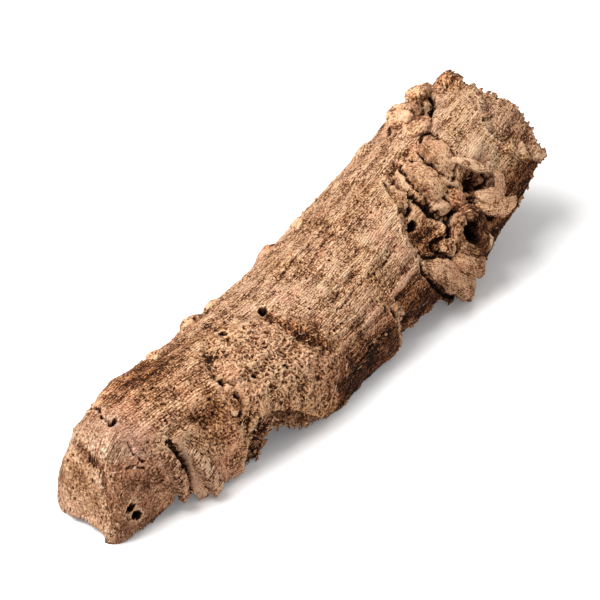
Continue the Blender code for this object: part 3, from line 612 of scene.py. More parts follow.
def large_relief(x, angle):
    """Ridges that fade in and out, bumps, swellings, cracks and ledges. The neck and the
    closed end have hardly any ridges."""
    wander = noise(x / 70, angle / 40, 11)
    height = np.zeros(np.shape(x))
    for pitch, size, drift, phase in RIDGES:
        turn = 2 * np.pi * (angle + drift * wander) / pitch
        height += size * np.cos(turn + phase + x / RIDGE_TURN)
    height *= (0.6 + 0.6 * noise(x / 55, angle / 22, 5)) * (1 - 0.8 * before(x, 98, 16))
    for length, width, size, seed in BUMPS:
        height += size * noise(x / length, angle / width, seed)
    for along, middle, length, width, size in SWELLINGS:
        height += size * spot(x, angle, (along, middle), length, width)
    jag_x, jag_a = jagged(x, angle)
    for width, depth, points in CRACKS:
        height -= depth * groove(line_distance(jag_x, jag_a, points), width)
    for points, drop, length in LEDGES:
        height += ledge_drop(x, angle, points, drop, length)
    return height


def zones(x, angle):
    """How much each place belongs to each kind of bark: the granular lobe, the streaky neck,
    the coarse bulge, the broken recess, and the layer that lies bare round the bite. What
    is left over is striated."""
    edge = 1.6 * noise(x / 12, angle / 12, 51)
    lobe = over(curve(angle, LOBE_END) + edge - x, 3.4)
    neck = (1 - lobe) * over(curve(angle, FURROW) + 2 * edge - x, 6)
    before_end = over(curve(angle, BULGE_END) + 5 * edge - x, 22)
    bulge = (1 - lobe - neck) * before_end * before(angle, 14, 18)
    recess = smooth((x - curve(angle, RECESS_START) + edge) / 5) * before(x, 318 + edge * 2, 14)
    recess = recess * before(angle, 2, 8) * after(angle, -96, 8)
    tear = 1.6 * noise(x / 3, angle / 3, 52) + 0.9 * noise(x / 1.2, angle / 1.2, 53)
    bare = over(curve(x, STRIPPED) + tear - angle, 2.2)
    return lobe, neck, bulge, recess, bare


def head(x, angle):
    """How much each place belongs to the pale head at the closed end, beyond its crease."""
    return over(curve(angle, HEAD_END) + 0.8 * noise(x / 5, angle / 6, 54) - x, 2.4)


def striae(s, t, neck):
    """Relief and shade of bark whose lines run along s.

    V-grooves where long thin noise passes 0, fine even lines, splits, and long small
    scales, each a cell with its own height, tilt and shade. All are shorter on the neck."""
    reach = 1 - 0.4 * neck
    height = 0.16 * noise(s / (44 * reach), t / 5.0, 103)
    for length, pitch, size, seed in ((34, 2.2, 0.10, 108), (22, 1.4, 0.10, 104), (12, 0.95, 0.07, 109)):
        line = noise(s / (length * reach), t / pitch, seed)
        height += size * line - 0.7 * size * groove(line, 0.2)
    height += (0.06 + 0.06 * neck) * np.cos(2 * np.pi * (t / 1.45 + 0.5 * noise(s / 20, t / 4, 127)))
    split = noise(s / (26 * reach), t / 2.6, 110)
    height -= 0.28 * groove(split, 0.05) * smooth(3 * noise(s / 12, t / 5, 123) - 0.4)
    mottle = np.zeros_like(s)
    for length, width, size, seed in ((9, 2.4, 0.22, 105), (3.8, 1.3, 0.24, 106)):
        wave = 0.3 * noise(s / (2 * length), t / (2 * width), seed + 20)
        _, gap, traits, way = cells(s / (length * reach) + wave, t / width + wave, seed)
        scale = traits[0] - 0.5 + 0.9 * way[0] * (traits[1] - 0.2)
        height += size * (0.7 - 0.4 * neck) * scale * smooth(gap / 0.12)
        mottle += 0.13 * (traits[2] - 0.5) * smooth(gap / 0.1)
    cross = noise(s / 2.4, t / 8, 107)
    height -= 0.2 * groove(cross, 0.07) * smooth(noise(s / 10, t / 7, 112) * 3)
    return height, mottle


def grit_noise(base):
    """Grit in space, which has no direction: noise of three sizes, and dents where noise
    passes 0."""
    rough = (0.42 * solid_noise(base / 5.5, 114) + 0.30 * solid_noise(base / 2.4, 115)
             + 0.22 * solid_noise(base / 1.2, 116))
    dents = groove(solid_noise(base / 4.2, 117), 0.07) + 0.7 * groove(solid_noise(base / 2.2, 118), 0.09)
    return rough, dents


def worms(s, w, rough):
    """The bulge's grain: short crooked ridges where noise passes 0, on broad low lumps."""
    bent = s + 2.4 * noise(s / 7, w / 7, 119)
    worm = noise(bent / 5.4, w / 3.4, 111) + 0.25 * noise(s / 1.8, w / 1.8, 120)
    other = noise(s / 4.2, (w + 0.8 * s) / 5.2, 113)
    strand = np.maximum(groove(worm, 0.20), 0.85 * groove(other, 0.16))
    uneven = 0.8 + 0.7 * noise(s / 11, w / 9, 129)
    return 1.25 * uneven * strand - 0.45 + 0.6 * rough + 0.6 * noise(s / 8, w / 7, 130)


def pits(s, w, coarse):
    """Where the small pits lie, more of them on coarse bark, and how deep they are."""
    near, _, traits, _ = cells(s / 6 + 0.3, w / 5, 131)
    radius = 0.06 + 0.09 * traits[0]
    pit = over(radius - near, 0.05) * (traits[1] < 0.26 + 0.3 * coarse)
    return pit, (0.6 + 1.2 * traits[2]) * pit


def grain_relief(base, s, w, x, angle, kinds):
    """The grain, by kind of bark, with s and w in millimetres along and round the skin.

    Striated: lines along the slab, which bend down towards the bite, and hang down by the
    fins. Lobe, recess, torn corners and bare layer: grit. Bulge: worms. Pits lie
    everywhere."""
    lobe, neck, bulge, recess, bare = kinds
    hang = neck * smooth((-42 - angle + 12 * noise(s / 15, w / 15, 128)) / 14)
    hang = hang * after(x, 22, 10) * before(x, 64, 12)
    round_lump = spot(x, angle, *ROUND_LUMP) * before(x, 76, 4)
    broken = recess * smooth((x - BROKEN_START + 0.2 * angle) / 8)
    corner = np.clip(spots(x, angle, CORNERS), 0, 1)
    coarse = np.clip(lobe + bulge + 0.25 * recess + 0.75 * broken + bare + 0.9 * corner
                     + 2.4 * hang * (1 - hang) + 0.8 * round_lump, 0, 1)
    sway = 1.2 * noise(s / 26, w / 14, 101) + 0.4 * noise(s / 8, w / 5, 102)
    bend = 10 * neck * before(angle, -5, 75) * np.clip((s - 30) / 45, 0, 1.3) ** 2
    t = w + bend + 0.2 * bulge * s + sway
    height, mottle = striae(s, t, neck)
    across_it, down_it = 0.87 * s + 0.5 * w + sway, 0.5 * s - 0.87 * w
    hung, hung_mottle = striae(0.7 * down_it, across_it, neck)
    height = (height + (hung - height) * hang) * (1 - coarse)
    mottle = (mottle + (hung_mottle - mottle) * hang) * (1 - coarse) * (1 - 0.4 * neck)
    hangs = hang > 0.5
    lines = np.where(hangs, down_it, s), np.where(hangs, across_it, t)
    rough, dents = grit_noise(base)
    gritty = 0.4 * lobe + 0.3 * recess + 0.3 * broken + 0.8 * bare + 0.7 * corner + 0.5 * round_lump
    height += gritty * (rough - 0.3 * dents)
    height += 0.25 * (1 - coarse) * rough
    height += bulge * worms(s, w, rough)
    mottle -= bulge * 0.16 * smooth(1.6 * noise(s / 9, w / 8, 132))
    pit, pit_depth = pits(s, w, coarse)
    height -= pit_depth
    return height, lines, coarse, pit, mottle


def drawn_to_holes(x, angle):
    """Places next to an insect hole are drawn to its rim, so that the wall stands steep."""
    for along, middle, radius, _, wide in HOLES:
        dx, dw = x - along, (angle - middle) * AROUND / wide
        away = np.hypot(dx, dw) + 1e-9
        t = away / radius
        within, past = np.clip(1 - t, 0, 1), np.clip(t - 1, 0, 1.2)
        pull = np.where(t < 1, 1 - within ** 2.2, np.where(t < 2.2, 1 + past ** 1.7 / 1.2 ** 0.7, t))
        ratio = pull / t
        x = along + dx * ratio
        angle = middle + dw * wide * ratio / AROUND
    return x, angle


def holes(x, angle):
    """Depth of the insects' holes, how far each place is inside one, and how much painted
    shade it has, inside the hole and in a fringe round its rim.
    """
    depth_here = np.zeros(np.shape(x))
    inside, dark = np.zeros(np.shape(x)), np.zeros(np.shape(x))
    for number, (along, middle, radius, depth, wide) in enumerate(HOLES):
        dx, dw = x - along, (angle - middle) * AROUND / wide
        turn = np.arctan2(dw, dx)
        rim = radius * (1 + 0.12 * np.sin(2 * turn + number) + 0.07 * np.sin(5 * turn + 2 * number))
        within = rim - np.hypot(dx, dw)
        share = over(within, HOLE_RIM)
        depth_here = np.maximum(depth_here, depth * share)
        inside = np.maximum(inside, share)
        dark = np.maximum(dark, smooth(within / HOLE_SHADE + 1))
    return depth_here, inside, dark


# Meshes
def grid_quads(rows, columns, first=0, flip=False):
    """Four-cornered faces of a grid of points, as an array."""
    i, j = np.meshgrid(np.arange(rows - 1), np.arange(columns - 1), indexing="ij")
    a = (first + i * columns + j).ravel()
    corners = [a, a + columns, a + columns + 1, a + 1]
    return np.stack(corners[::-1] if flip else corners, -1)


def border(rows, columns, first=0):
    """Indices once round a grid's border, as an array."""
    top = np.arange(columns)
    right = np.arange(1, rows) * columns + columns - 1
    bottom = (rows - 1) * columns + np.arange(columns - 2, -1, -1)
    left = np.arange(rows - 2, 0, -1) * columns
    return first + np.concatenate([top, right, bottom, left])


def pole_faces(rows, columns):
    """Faces of rows of points that close round, with a pole before and after them."""
    i, j = np.meshgrid(np.arange(rows - 1), np.arange(columns), indexing="ij")
    a, b = 1 + i * columns + j, 1 + i * columns + (j + 1) % columns
    quads = np.stack([a, b, b + columns, a + columns], -1).reshape(-1, 4)
    j = np.arange(columns)
    k, start = (j + 1) % columns, 1 + (rows - 1) * columns
    first = np.stack([0 * j, 1 + k, 1 + j], -1)
    last = np.stack([0 * j + start + columns, start + j, start + k], -1)
    return quads, np.concatenate([first, last])


def with_poles(field):
    """A grid's values, with one value each for its first and last rows."""
    return np.concatenate([field[:1, 0], field[1:-1].reshape(-1, field.shape[-1]), field[-1:, 0]])


def facing_out(points, quads, triangles):
    """The same faces, turned over if their solid's volume comes out negative."""
    fans = np.concatenate([quads[:, [0, 1, 2]], quads[:, [0, 2, 3]], triangles])
    a, b, c = (points[fans[:, k]] for k in range(3))
    if np.sum(a * np.cross(b, c)) < 0:
        return quads[:, ::-1], triangles[:, ::-1]
    return quads, triangles


def fill_mesh(mesh, points, quads, triangles):
    """Puts points in millimetres and faces into a mesh, moved to the slab's own middle."""
    place = (points - ORIGIN) * MM
    mesh.vertices.add(len(place))
    mesh.vertices.foreach_set("co", place.astype(np.float32).ravel())
    corners = np.concatenate([quads.ravel(), triangles.ravel()]).astype(np.int32)
    mesh.loops.add(len(corners))
    mesh.loops.foreach_set("vertex_index", corners)
    sizes = np.concatenate([np.full(len(quads), 4), np.full(len(triangles), 3)])
    starts = np.concatenate([[0], np.cumsum(sizes)[:-1]]).astype(np.int32)
    mesh.polygons.add(len(sizes))
    mesh.polygons.foreach_set("loop_start", starts)
    mesh.update(calc_edges=True)
    mesh.polygons.foreach_set("use_smooth", np.ones(len(sizes), bool))
    mesh.validate()


def looks_of(grain, tone, kind):
    """What the material reads at each point: three fields, each of three numbers."""
    return tuple(np.stack(np.broadcast_arrays(*values), -1) for values in (grain, tone, kind))


def piece(name, points, quads, triangles, looks, material):
    """A finished piece of the slab: its place is in its mesh, and it rides on the slab."""
    mesh = bpy.data.meshes.new(name)
    fill_mesh(mesh, points, quads, triangles)
    for label, values in zip(LOOKS, looks):
        layer = mesh.attributes.new(label, "FLOAT_VECTOR", "POINT")
        layer.data.foreach_set("vector", np.ascontiguousarray(values, np.float32).ravel())
    mesh.materials.append(material)
    thing = bpy.data.objects.new(name, mesh)
    bpy.context.scene.collection.objects.link(thing)
    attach(thing, "root")
    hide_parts(NODE)
    return thing


# The bark
def skin_distances(base, angle):
    """Millimetres along the skin, from behind the closed end, and round it from the crown."""
    steps = np.linalg.norm(np.diff(base, axis=0), axis=-1)
    s = np.concatenate([np.zeros((1, base.shape[1])), np.cumsum(steps, 0)]) - CAP_LENGTH
    steps = np.linalg.norm(np.diff(base, axis=1), axis=-1)
    w = np.concatenate([np.zeros((base.shape[0], 1)), np.cumsum(steps, 1)], 1)
    crown = np.argmin(np.abs(angle), 1)
    return s, w - np.take_along_axis(w, crown[:, None], 1)


def relief_shade_and_mottle(height, mottle):
    """Painted shade about 0.5 that is lower the further a place lies below its surroundings,
    and painted light where it stands over them; the surroundings are the height blurred over
    a near and a wide reach. The grain's own mottle is added."""
    density = height.shape[0] / BLUR_ROWS
    near, wide = (height - blurred(height, int(rows * density), int(columns * density))
                  for rows, columns in (NEAR_BLUR, WIDE_BLUR))
    return np.clip(0.5 + NEAR_SHARE * near + WIDE_SHARE * wide + mottle, 0, 1)


def outer_skin(u, v):
    """The outer skin on the whole grid: points, what the material reads, and the places.

    The height over the smooth arch is the large forms, less the stripped layer, the head
    and the gaps, plus the grain, less the holes."""
    x = skin_grid(u, v, NOSE, SHOULDER)
    share = cap_share(x, v, NOSE, SHOULDER)
    base, normal, angle = arch(x, v, share, 0, BITE)
    x_drawn, angle_drawn = drawn_to_holes(x, angle)
    move = (x_drawn - x)[..., None] * LENGTHWISE
    side = np.cross(normal, LENGTHWISE)
    base = base + move + side * ((angle_drawn - angle) * AROUND)[..., None]
    x, angle = x_drawn, angle_drawn
    s, w = skin_distances(base, angle)
    kinds = zones(x, angle)
    _, neck, _, _, bare = kinds
    big = large_relief(x, angle) * (0.3 + 0.7 * smooth(1.6 * share - 0.6))
    big -= bare * (STRIPPED_DEPTH + BITE_DEPTH * before(x, 97, 12))
    big -= head(x, angle) * after(angle, -60, 20)
    gaps = round_plates(x, angle)
    big -= GAP_DEPTH * gaps
    fine, lines, coarse, pit, mottle = grain_relief(base, s, w, x, angle, kinds)
    sunk, inside, dark = holes(x, angle)
    wall = WALL + (EDGE_WALL - WALL) * np.abs(2 * v - 1) ** 4
    sunk = np.minimum(sunk, np.maximum(wall + big - HOLE_FLOOR, 0))
    height = big + fine * (1 - inside) - sunk
    points = base + normal * height[..., None]
    points[..., 2] = np.maximum(points[..., 2], FLOOR_CUT)
    # Painted shade in hollows and painted light on what stands out, with the grain's own mottle
    relief_shade = relief_shade_and_mottle(height, mottle)
    stain_and_painted_shade, pale = tints_and_painted_shade(x, angle, kinds)
    # Pits and holes are painted darker, as shade; painted shade also lies in hollows, in the gaps round
    # plates, on the bare shelf at the bite and low on the near side
    stain_and_painted_shade = np.clip(stain_and_painted_shade + 0.5 * pit + dark, 0, 1.2)
    painted_shelf_shade = 1.1 * bare * before(x, 101, 8)
    deep = np.clip(dark + painted_shade_places(x, angle) + 0.75 * gaps + painted_shelf_shade, 0, 1)
    weave = np.clip((1 - coarse) * (1 - 0.6 * neck), 0, 1)
    looks = looks_of((*lines, weave), (relief_shade, stain_and_painted_shade, pale), (deep, 0.6 * bare, coarse))
    return points, looks, (x, angle, kinds)


def round_plates(x, angle):
    """How sunk the bark is in a narrow, broken band round the gapped plates, and how much
    painted shade lies there.
    """
    band = np.zeros_like(x)
    for name, path, _ in PLATES:
        if name.startswith(GAPPED):
            places = [(row[0], row[1]) for row in path]
            away = line_distance(x, angle, places, [row[3] for row in path])
            band = np.maximum(band, np.exp(-((away - 0.3) / PLATE_GAP) ** 2))
    return band * smooth(0.8 + 0.9 * noise(x / 7, angle / 8, 143))


def painted_shade_places(x, angle):
    """Painted shade in slots, pits and hollows, in the ring round the knot's collar, at the
    foot of ledges, inside deep cracks, and low on the near side.
    """
    dark = spots(x, angle, PAINTED_SHADE_SPOTS)
    away = np.hypot(x - KNOT[0], (angle - KNOT[1]) * AROUND) - KNOT_COLLAR
    dark += 0.8 * groove(away - 1.2, 2.0) * smooth(0.8 + noise(x / 5, angle / 5, 144))
    for line, drop, _ in LEDGES:
        past = line_distance(x - 1.6, angle, line)
        dark += 0.2 * drop * groove(past, 1.5) * smooth(0.9 + noise(x / 6, angle / 6, 145))
    jag_x, jag_a = jagged(x, angle)
    for width, depth, line in CRACKS:
        if depth > DEEP_CRACK:
            dark += 0.55 * groove(line_distance(jag_x, jag_a, line), 0.7 * width)
    # Painted shade low on the near side
    return dark + 0.5 * before(angle, -68, 14) * after(x, 142, 14)


def tints_and_painted_shade(x, angle, kinds):
    """How stained and how pale each place is: by its kind of bark, darker low on the near side,
    which is painted shade, and by the spots that lie on it, some of which are painted shade."""
    lobe, _, bulge, recess, bare = kinds
    pale_end = head(x, angle)
    stain_and_painted_shade = 0.2 * recess * smooth(0.8 + noise(x / 9, angle / 9, 141)) + 0.35 * (1 - pale_end) * lobe
    # Painted shade low on the near side, less of it on the bulge
    under = smooth((-52 - angle + 6 * noise(x / 20, angle / 20, 142)) / 26) * after(x, 45, 90)
    stain_and_painted_shade = stain_and_painted_shade + (1.1 - 0.6 * bulge) * under + 0.9 * bare + 0.2 * bulge + spots(x, angle, STAINS_AND_PAINTED_SHADE)
    pale = 0.5 * bulge - 0.8 * lobe + 0.35 * pale_end + spots(x, angle, PALE)
    return stain_and_painted_shade, pale * (1 - bare)


def inner_skin(u, v):
    """The hollow side: smoother, with long shallow flutes, thinner at the lower edges."""
    nose, shoulder = NOSE + WALL, SHOULDER + MITRE
    x = skin_grid(u, v, nose, shoulder)
    share = cap_share(x, v, nose, shoulder)
    edge = np.abs(2 * v - 1) ** 4
    wall = WALL + (EDGE_WALL - WALL) * edge + noise(x / 40, v * 6, 21)
    base, normal, angle = arch(x, v, share, wall, BITE_INSIDE)
    flutes = 0.6 * np.cos(np.radians(angle) * 14 + 1.5 * noise(x / 90, v * 3, 22))
    fine = 0.5 * noise(x / 24, angle / 2.4, 23) + 0.3 * noise(x / 5, angle / 3, 24)
    points = base + normal * ((flutes + fine) * share)[..., None]
    points[..., 2] = np.maximum(points[..., 2], FLOOR_CUT)
    # The hollow side is painted darker all over, as shade, and darker and lighter with its fine relief
    looks = looks_of((x, angle * AROUND, 0), (0.5 + 0.4 * fine, 0.45, 0), (0.35 + 0 * x, 0, 0))
    return points, looks


def rim_rows(outer, inner, torn):
    """Rows across the broken edge, from the outer border to the inner one.

    Between the two they stand out or back by layers of noise, which run along the edge."""
    out = outer - inner
    along = unit(np.roll(outer, -1, 0) - np.roll(outer, 1, 0))
    facing = unit(np.cross(along, out))
    place = np.arange(len(outer)) * 0.9
    rows = []
    for k in range(1, RIM_ROWS):
        t = k / RIM_ROWS
        layer = 1.3 * noise(place / 6, place * 0 + 0.9 * k, 151)
        layer += 0.9 * noise(place / 2.2, place * 0 + k, 152)
        stand = (layer + 0.6) * np.sin(np.pi * t) ** 0.5 * torn
        row = outer * (1 - t) + inner * t + facing * stand[:, None]
        row[:, 2] = np.maximum(row[:, 2], FLOOR_CUT)
        rows.append(row)
    return rows


def section_looks(top, under, ring, torn):
    """What the material reads outside, across the broken edge and inside. Across the edge,
    the grain moves on with each row, and the bark is freshly torn."""
    looks = []
    for index, label in enumerate(LOOKS, start=1):
        row = top[index][ring]
        middle = [row] * (RIM_ROWS - 1)
        if label == "grain":
            middle = [row + np.array([0, RIM_SHIFT * k, 0]) for k in range(RIM_ROWS - 1)]
        if label == "kind":
            middle = [row * 0 + RIM_KIND * torn[:, None]] * (RIM_ROWS - 1)
        looks.append(np.concatenate([top[index]] + middle + [under[index]]))
    return looks


def seam(last_row, ring_in):
    """Triangles from the rim's last row to the inner border, where each edge of the border
    meets COARSER edges of the row."""
    triangles = []
    for step in range(COARSER):
        p = last_row[step::COARSER]
        q = np.roll(last_row, -1)[step::COARSER]
        apex = ring_in if step < COARSER // 2 else np.roll(ring_in, -1)
        triangles.append(np.stack([p, q, apex], -1))
    middle = last_row[COARSER // 2::COARSER]
    triangles.append(np.stack([middle, np.roll(ring_in, -1), ring_in], -1))
    return np.concatenate(triangles)


def bark_section(name, outer, inner, border_in, rows_of, material):
    """One length of the bark, between two rows of the whole grid, closed all round.

    The outer grid, the rim's rows and the coarser inner grid follow on each other. Where
    the bark is only cut into lengths, the edge isn't torn."""
    first, last = rows_of
    whole_rows, columns = outer[0].shape[:2]
    rows = last - first + 1
    rows_in, columns_in = (rows - 1) // COARSER + 1, (columns - 1) // COARSER + 1
    inside = slice(first // COARSER, last // COARSER + 1)
    top = [field[first:last + 1].reshape(-1, 3) for field in (outer[0],) + outer[1]]
    under = [field[inside].reshape(-1, 3) for field in (inner[0],) + inner[1]]
    ring = border(rows, columns)
    at_cut = np.zeros((rows, columns), bool)
    at_cut[0] = first > 0
    at_cut[-1] = last < whole_rows - 1
    torn = 1.0 - at_cut.ravel()[ring]
    rim = rim_rows(top[0][ring], border_in[first:last + 1].reshape(-1, 3)[ring], torn)
    points = np.concatenate([top[0]] + rim + [under[0]])
    looks = section_looks(top, under, ring, torn)
    total = rows * columns
    loops = [ring] + [total + k * len(ring) + np.arange(len(ring)) for k in range(RIM_ROWS - 1)]
    quads = [grid_quads(rows, columns)]
    for near, far in zip(loops[:-1], loops[1:]):
        quads.append(np.stack([near, np.roll(near, -1), np.roll(far, -1), far], -1))
    start_in = total + (RIM_ROWS - 1) * len(ring)
    quads.append(grid_quads(rows_in, columns_in, start_in, flip=True))
    triangles = seam(loops[-1], border(rows_in, columns_in, start_in))
    piece(name, points, np.concatenate(quads), triangles, looks, material)


def whole_bark(material):
    """The whole sheet of bark, in a few lengths that meet without a seam."""
    u = np.linspace(0, 1, ROWS)[:, None] + np.zeros((1, COLUMNS))
    v = np.linspace(0, 1, COLUMNS)[None, :] + np.zeros((ROWS, 1))
    points, looks, places = outer_skin(u, v)
    inner = inner_skin(u[::COARSER, ::COARSER], v[::COARSER, ::COARSER])
    border_in = inner_skin(u, v)[0]
    cuts = [int(round(k * (ROWS - 1) / SECTIONS / COARSER)) * COARSER for k in range(SECTIONS + 1)]
    for number, rows_of in enumerate(zip(cuts[:-1], cuts[1:])):
        bark_section("bark_%d" % (number + 1), (points, looks), inner, border_in, rows_of, material)
    return points, places


# Plates, lumps and the knot
def wrapped_normals(points):
    """Outward normals of a grid that closes round its rows, from its neighbours."""
    along = np.gradient(points, axis=0)
    round_it = np.roll(points, -1, 1) - np.roll(points, 1, 1)
    return unit(np.cross(round_it, along))


def skin_grain(points, s, w, strength, coarse, seed):
    """Relief of a plate or lump: fine lines along it, and grit in space."""
    lines = np.zeros(np.shape(s))
    for length, pitch, size in ((20, 2.4, 0.22), (12, 1.4, 0.20), (6, 0.9, 0.12)):
        line = noise(s / length + 7, w / pitch, seed)
        lines += size * line - 0.9 * size * groove(line, 0.2)
    rough = 0.75 * solid_noise(points / 5.0, seed + 1) + 0.4 * solid_noise(points / 2.3, seed + 2)
    rough += 0.25 * solid_noise(points / 1.1, seed + 3)
    dents = groove(solid_noise(points / 3.8, seed + 4), 0.07)
    return strength * (lines * (1 - coarse) + (0.3 + 0.7 * coarse) * (rough - 0.5 * dents))


def signed_power(value, exponent):
    """A power that keeps the sign."""
    return np.sign(value) * np.abs(value) ** exponent


def plate(name, path, material, seed, lean=0.0, grain=1.0, coarse=0.3, tone=(0.0, 0.0), raw=0.5,
          rows=62, columns=52, blunt=5.0, teeth=0.16, square=0.7, ribs=0.0):
    """A torn plate or lump of bark, carried along a path over the bark.

    The path's rows are along, angle, lift, half width, thickness and curl. With a turn once
    round it, the section is the half width times the turn's cosine to a power, and half the
    thickness times its sine to the same power, raised by the curl times the cosine squared.
    It leans over by an angle in degrees. Both ends close as a blunt round, where the rows
    lie closer, and the grain runs on over them. Ribs of noise run across it."""
    table = numbered(np.array(path, float))
    t = (len(path) - 1) * (0.5 - 0.5 * np.cos(np.linspace(0, np.pi, rows)))
    along, angle, lift, half, thick, curl = (curve(t, table, k) for k in range(1, 7))
    spine, normal = on_bare_arch(along, angle)
    spine = spine + normal * lift[:, None]
    tangent = unit(np.gradient(spine, axis=0))
    side = unit(np.cross(normal, tangent))
    normal = np.cross(tangent, side)
    tilt = np.radians(lean)
    side, normal = (side * np.cos(tilt) + normal * np.sin(tilt),
                    normal * np.cos(tilt) - side * np.sin(tilt))
    s = np.concatenate([[0], np.cumsum(np.linalg.norm(np.diff(spine, axis=0), axis=-1))])[:, None]
    end = (1 - np.abs(2 * t / t[-1] - 1) ** blunt)[:, None] ** 0.5
    turn = np.linspace(0, 2 * np.pi, columns, endpoint=False)[None, :]
    c, q = np.cos(turn), np.sin(turn)
    torn = 1 + teeth * (noise(s / 7, 1.1 * c, seed + 7) + 0.8 * noise(s / 3.3, 1.5 * c, seed + 5)
                        + 0.6 * noise(s / 1.4, 2.5 * c, seed + 6))
    across = half[:, None] * torn * signed_power(c, square) * end
    up = (0.5 * thick[:, None] * signed_power(q, square) + curl[:, None] * c ** 2) * end
    points = spine[:, None] + side[:, None] * across[..., None] + normal[:, None] * up[..., None]
    w = across + 3.0 * signed_power(q, square) + 0 * s
    arc = s + (half * np.sign(2 * t / t[-1] - 1))[:, None] * (1 - end) + 0 * w
    height = skin_grain(points, arc, w, grain, coarse, seed)
    height -= ribs * groove(noise(s / 1.6 + 0.1 * w, w / 9, seed + 8), 0.22)
    edge = np.abs(c) ** 5 + 0 * s
    points = points + wrapped_normals(points) * (height * smooth(6 * end))[..., None]
    points[..., 2] = np.maximum(points[..., 2], FLOOR_CUT)
    finish_band(name, points, arc, w, height, (0, edge * raw, coarse), tone, material, 2 * ribs)


def finish_band(name, points, s, w, height, kind, tone, material, weave=0.0):
    """Makes a piece of rows of points that close round, each end drawn to a pole."""
    points[0], points[-1] = points[0].mean(0), points[-1].mean(0)
    quads, triangles = pole_faces(points.shape[0] - 2, points.shape[1])
    solid = with_poles(points)
    quads, triangles = facing_out(solid - solid.mean(0), quads, triangles)
    # Painted shade by relief: lower places darker, higher ones lighter
    relief_shade = np.clip(0.53 + 0.8 * (height - np.median(height)), 0, 1)
    looks = looks_of((s, w, weave), (relief_shade, *tone), kind)
    piece(name, solid, quads, triangles, [with_poles(look) for look in looks], material)


def knot(material):
    """The ring knot: the stub of a side branch. Its collar is raised and torn, and rolls
    over into a deep heart, painted dark as shade. The collar's side away from the lamp is
    painted in shade, and its other side paler, as lit.

    A profile of level and radius is turned about the knot's axis, with an outline that
    swells by cosines of the turn, and rings of noise run round it."""
    place = np.array([KNOT[0]]), np.array([KNOT[1]])
    centre, normal = (found[0] for found in on_bare_arch(*place))
    centre = centre + normal * large_relief(*place)
    axis = unit(normal + KNOT_LEAN)
    side = unit(np.cross(axis, LENGTHWISE))
    other = np.cross(axis, side)
    table = numbered(KNOT_PROFILE)
    t = np.linspace(0, len(KNOT_PROFILE) - 1, KNOT_GRID[0])[:, None]
    turn = np.linspace(0, 2 * np.pi, KNOT_GRID[1], endpoint=False)[None, :]
    level, share = curve(t, table, 1), curve(t, table, 2)
    rounds = np.cos(turn), np.sin(turn)
    outline = 1 + 0.10 * np.cos(2 * turn + 0.6) + 0.07 * np.cos(3 * turn + 2)
    outline = outline + 0.06 * noise(3 * rounds[0] + 9, 3 * rounds[1] + 9, 161)
    collar = smooth((level + 1) / 4)
    radius = KNOT_COLLAR * share * outline
    level = level + collar * (1.6 * np.cos(turn - KNOT_LIP)
                              + 1.6 * noise(2.6 * rounds[0], 2.6 * rounds[1], 162)
                              + 1.0 * noise(6 * rounds[0], 6 * rounds[1], 168))
    out = side * rounds[0][..., None] + other * rounds[1][..., None]
    points = centre + axis * level[..., None] + out * radius[..., None]
    arc = 2.4 * t + 0 * turn
    w = turn * KNOT_COLLAR + 0 * t
    rings = 0.5 * noise(w / 7, arc / 2.2, 163) + 0.3 * noise(w / 3, arc / 1.2, 164)
    splits = groove(noise(w / 4 + 0.4 * arc, arc / 9, 166), 0.1)
    splits = splits * smooth(1.5 * noise(w / 9, arc / 6, 167) + 0.4)
    height = 0.8 * rings - 0.9 * splits + 0.7 * skin_grain(points, arc, w, 1.0, 1.0, 165)
    height = height * smooth(np.minimum(t, t[-1] - t))
    points = points + wrapped_normals(points) * height[..., None]
    # Painted shade in the heart, and on the side of the collar away from the lamp; the lit side is
    # painted paler
    heart = smooth((0.55 - share) / 0.10) * smooth(t - 7)
    shaded = smooth(0.5 - 0.8 * np.cos(turn - KNOT_LIP))
    kind = np.maximum(heart, 0.5 * shaded), 0.4 * collar, 0.5
    finish_band("ring_knot", points, w, arc, height, kind, (0.2 + 0.8 * shaded, 0.4 * (1 - shaded)),
                material)


# Flakes, fibres and crumbs
def leaf(rows=4):
    """A leaf of rows of three points on top and as many below: its points as (share of its
    length, share of its half width, 1 on top or 0 below), and its faces."""
    i, j, k = np.meshgrid(np.arange(rows), np.arange(3), np.arange(2), indexing="ij")
    points = np.stack([i / (rows - 1), j - 1.0, k], -1).reshape(-1, 3)
    below = grid_quads(rows, 3)
    loop = border(rows, 3)
    onward = np.roll(loop, -1)
    sides = np.stack([loop * 2, onward * 2, onward * 2 + 1, loop * 2 + 1], -1)
    return points, np.concatenate([below * 2, below[:, ::-1] * 2 + 1, sides])


def flake_places(skin, weight, count, turns, rng):
    """Where flakes hang, and the ways that are outward, forward and sideways for each.

    Places are drawn from the skin's grid by weight, and by how much of the skin each point
    of it stands for, clear of the insects' holes. Turns give the middle and spread, in
    degrees, of the way they point from the slab's length."""
    points, normals, clear = skin
    flat = np.linalg.norm(np.cross(np.gradient(points, axis=0), np.gradient(points, axis=1)), axis=-1)
    share = (weight * flat * clear).ravel()
    chosen = rng.choice(share.size, count, p=share / share.sum())
    at, up = points.reshape(-1, 3)[chosen], normals.reshape(-1, 3)[chosen]
    ahead = unit(LENGTHWISE - up * up[:, :1])
    side = np.cross(up, ahead)
    turn = np.radians(turns[0] + turns[1] * rng.normal(size=(count, 1)))
    return (at, up, ahead * np.cos(turn) + side * np.sin(turn),
            side * np.cos(turn) - ahead * np.sin(turn))


